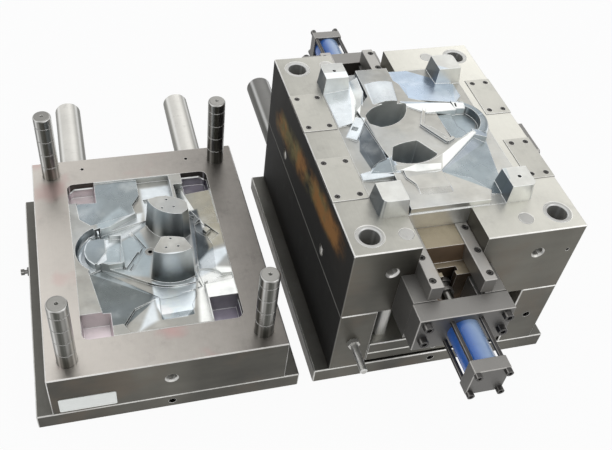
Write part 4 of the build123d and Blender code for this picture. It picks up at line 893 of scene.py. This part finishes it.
def add_floor():
    """A plain pale floor that shows white to the camera and still takes the mould's shadow."""
    corners = [(x * FLOOR_SIDE, y * FLOOR_SIDE, -FLOOR_DROP) for x, y in ((-1, -1), (1, -1), (1, 1), (-1, 1))]
    mesh = bpy.data.meshes.new("floor")
    mesh.from_pydata(corners, [], [(0, 1, 2, 3)])
    f = Finish("floor_paper")
    grain = f.noise(30.0, 3.0)
    f.set(base_color=f.tint((0.86, 0.86, 0.86), 0.98 + grain * 0.04), roughness=0.9, metallic=0.0)
    path = f.tree.nodes.new("ShaderNodeLightPath")
    seen = (Sock(f, path.outputs["Is Camera Ray"]) + Sock(f, path.outputs["Is Glossy Ray"])
            + Sock(f, path.outputs["Is Transmission Ray"])).maths("MINIMUM", 1.0)
    glow = f.node("ShaderNodeEmission", None, {"Color": (1, 1, 1, 1), "Strength": 1.0})
    shade = Sock(f, f.shader.outputs[0])
    mixed = f.node("ShaderNodeMixShader", None, {0: seen * 0.95, 1: shade, 2: glow})
    output = next(n for n in f.tree.nodes if n.type == "OUTPUT_MATERIAL")
    f.tree.links.new(mixed.link, output.inputs[0])
    mesh.materials.append(f.material)
    floor = bpy.data.objects.new("floor", mesh)
    bpy.context.scene.collection.objects.link(floor)


def add_lights():
    """Soft boxes over and beside the mould, and a pale world."""
    middle = Vector((-0.36, 0, 0.3))
    boxes = [("key_box", (-0.6, 0.6, 3.6), 3.2, 16), ("fill_box", (2.2, -2.4, 2.6), 2.4, 12),
             ("back_box", (1.2, 4.2, 2.6), 3.6, 24)]
    for name, place, width, power in boxes:
        lamp = bpy.data.lights.new(name, "AREA")
        lamp.size = width
        lamp.energy = power
        holder = bpy.data.objects.new(name, lamp)
        holder.location = place
        holder.rotation_euler = (middle - Vector(place)).to_track_quat("-Z", "Y").to_euler()
        bpy.context.scene.collection.objects.link(holder)
    world = bpy.data.worlds.new("studio")
    bpy.context.scene.world = world
    world.use_nodes = True
    tree = world.node_tree
    tree.nodes.clear()
    path = tree.nodes.new("ShaderNodeLightPath")
    seen = path.outputs["Is Camera Ray"]
    for kind in ("Is Glossy Ray", "Is Transmission Ray"):
        either = tree.nodes.new("ShaderNodeMath")
        either.operation = "MAXIMUM"
        tree.links.new(seen, either.inputs[0])
        tree.links.new(path.outputs[kind], either.inputs[1])
        seen = either.outputs[0]
    mix = tree.nodes.new("ShaderNodeMixShader")
    tree.links.new(seen, mix.inputs[0])
    backgrounds = [((0.84, 0.89, 0.96, 1), 0.45), ((1, 1, 1, 1), 1.0)]
    for index, (shade, strength) in enumerate(backgrounds, 1):
        background = tree.nodes.new("ShaderNodeBackground")
        background.inputs[0].default_value = shade
        background.inputs[1].default_value = strength
        tree.links.new(background.outputs[0], mix.inputs[index])
    output = tree.nodes.new("ShaderNodeOutputWorld")
    tree.links.new(mix.outputs[0], output.inputs[0])


def add_camera():
    """The camera at the photograph's place: lens from the focal length in pixels, shift from its centre."""
    lens = bpy.data.cameras.new("camera")
    lens.sensor_width = SENSOR_MM
    lens.lens = FOCAL_PX / IMAGE_W * SENSOR_MM
    lens.shift_x = (IMAGE_W / 2 - CENTRE_U) / IMAGE_W
    lens.shift_y = (CENTRE_V - IMAGE_H / 2) / IMAGE_W
    lens.clip_end = 100
    camera = bpy.data.objects.new("camera", lens)
    turn = Matrix.Rotation(math.radians(CAMERA_TURN), 4, "Z")
    tilt = Matrix.Rotation(math.radians(CAMERA_TILT), 4, "X")
    roll = Matrix.Rotation(math.radians(CAMERA_ROLL), 4, "Z")
    camera.matrix_world = Matrix.Translation(CAMERA_PLACE) @ turn @ tilt @ roll
    bpy.context.scene.collection.objects.link(camera)
    bpy.context.scene.camera = camera


STEPS = (MOULD_OT_plates, MOULD_OT_inserts, MOULD_OT_guides, MOULD_OT_slides, MOULD_OT_fasteners,
         MOULD_OT_threads, MOULD_OT_nameplate, MOULD_OT_stage)


class MOULD_PT_panel(bpy.types.Panel):
    """The mould's steps and settings in the sidebar"""
    bl_idname = "MOULD_PT_panel"
    bl_label = "Mould"
    bl_space_type = "VIEW_3D"
    bl_region_type = "UI"
    bl_category = "Mould"

    def draw(self, context):
        for step in STEPS:
            self.layout.operator(step.bl_idname)
        for group in (context.scene.mould_colours, context.scene.mould_sizes):
            for key in group.__annotations__:
                self.layout.prop(group, key)


CLASSES = (MouldColours, MouldSizes, *STEPS, MOULD_PT_panel)


def register():
    for item in CLASSES:
        bpy.utils.register_class(item)
    bpy.types.Scene.mould_colours = PointerProperty(type=MouldColours)
    bpy.types.Scene.mould_sizes = PointerProperty(type=MouldSizes)


def unregister():
    del bpy.types.Scene.mould_sizes
    del bpy.types.Scene.mould_colours
    for item in reversed(CLASSES):
        bpy.utils.unregister_class(item)


def main():
    """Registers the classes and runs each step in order."""
    register()
    for step in STEPS:
        group, name = step.bl_idname.split(".")
        getattr(getattr(bpy.ops, group), name)()


if __name__ == "__main__":
    main()
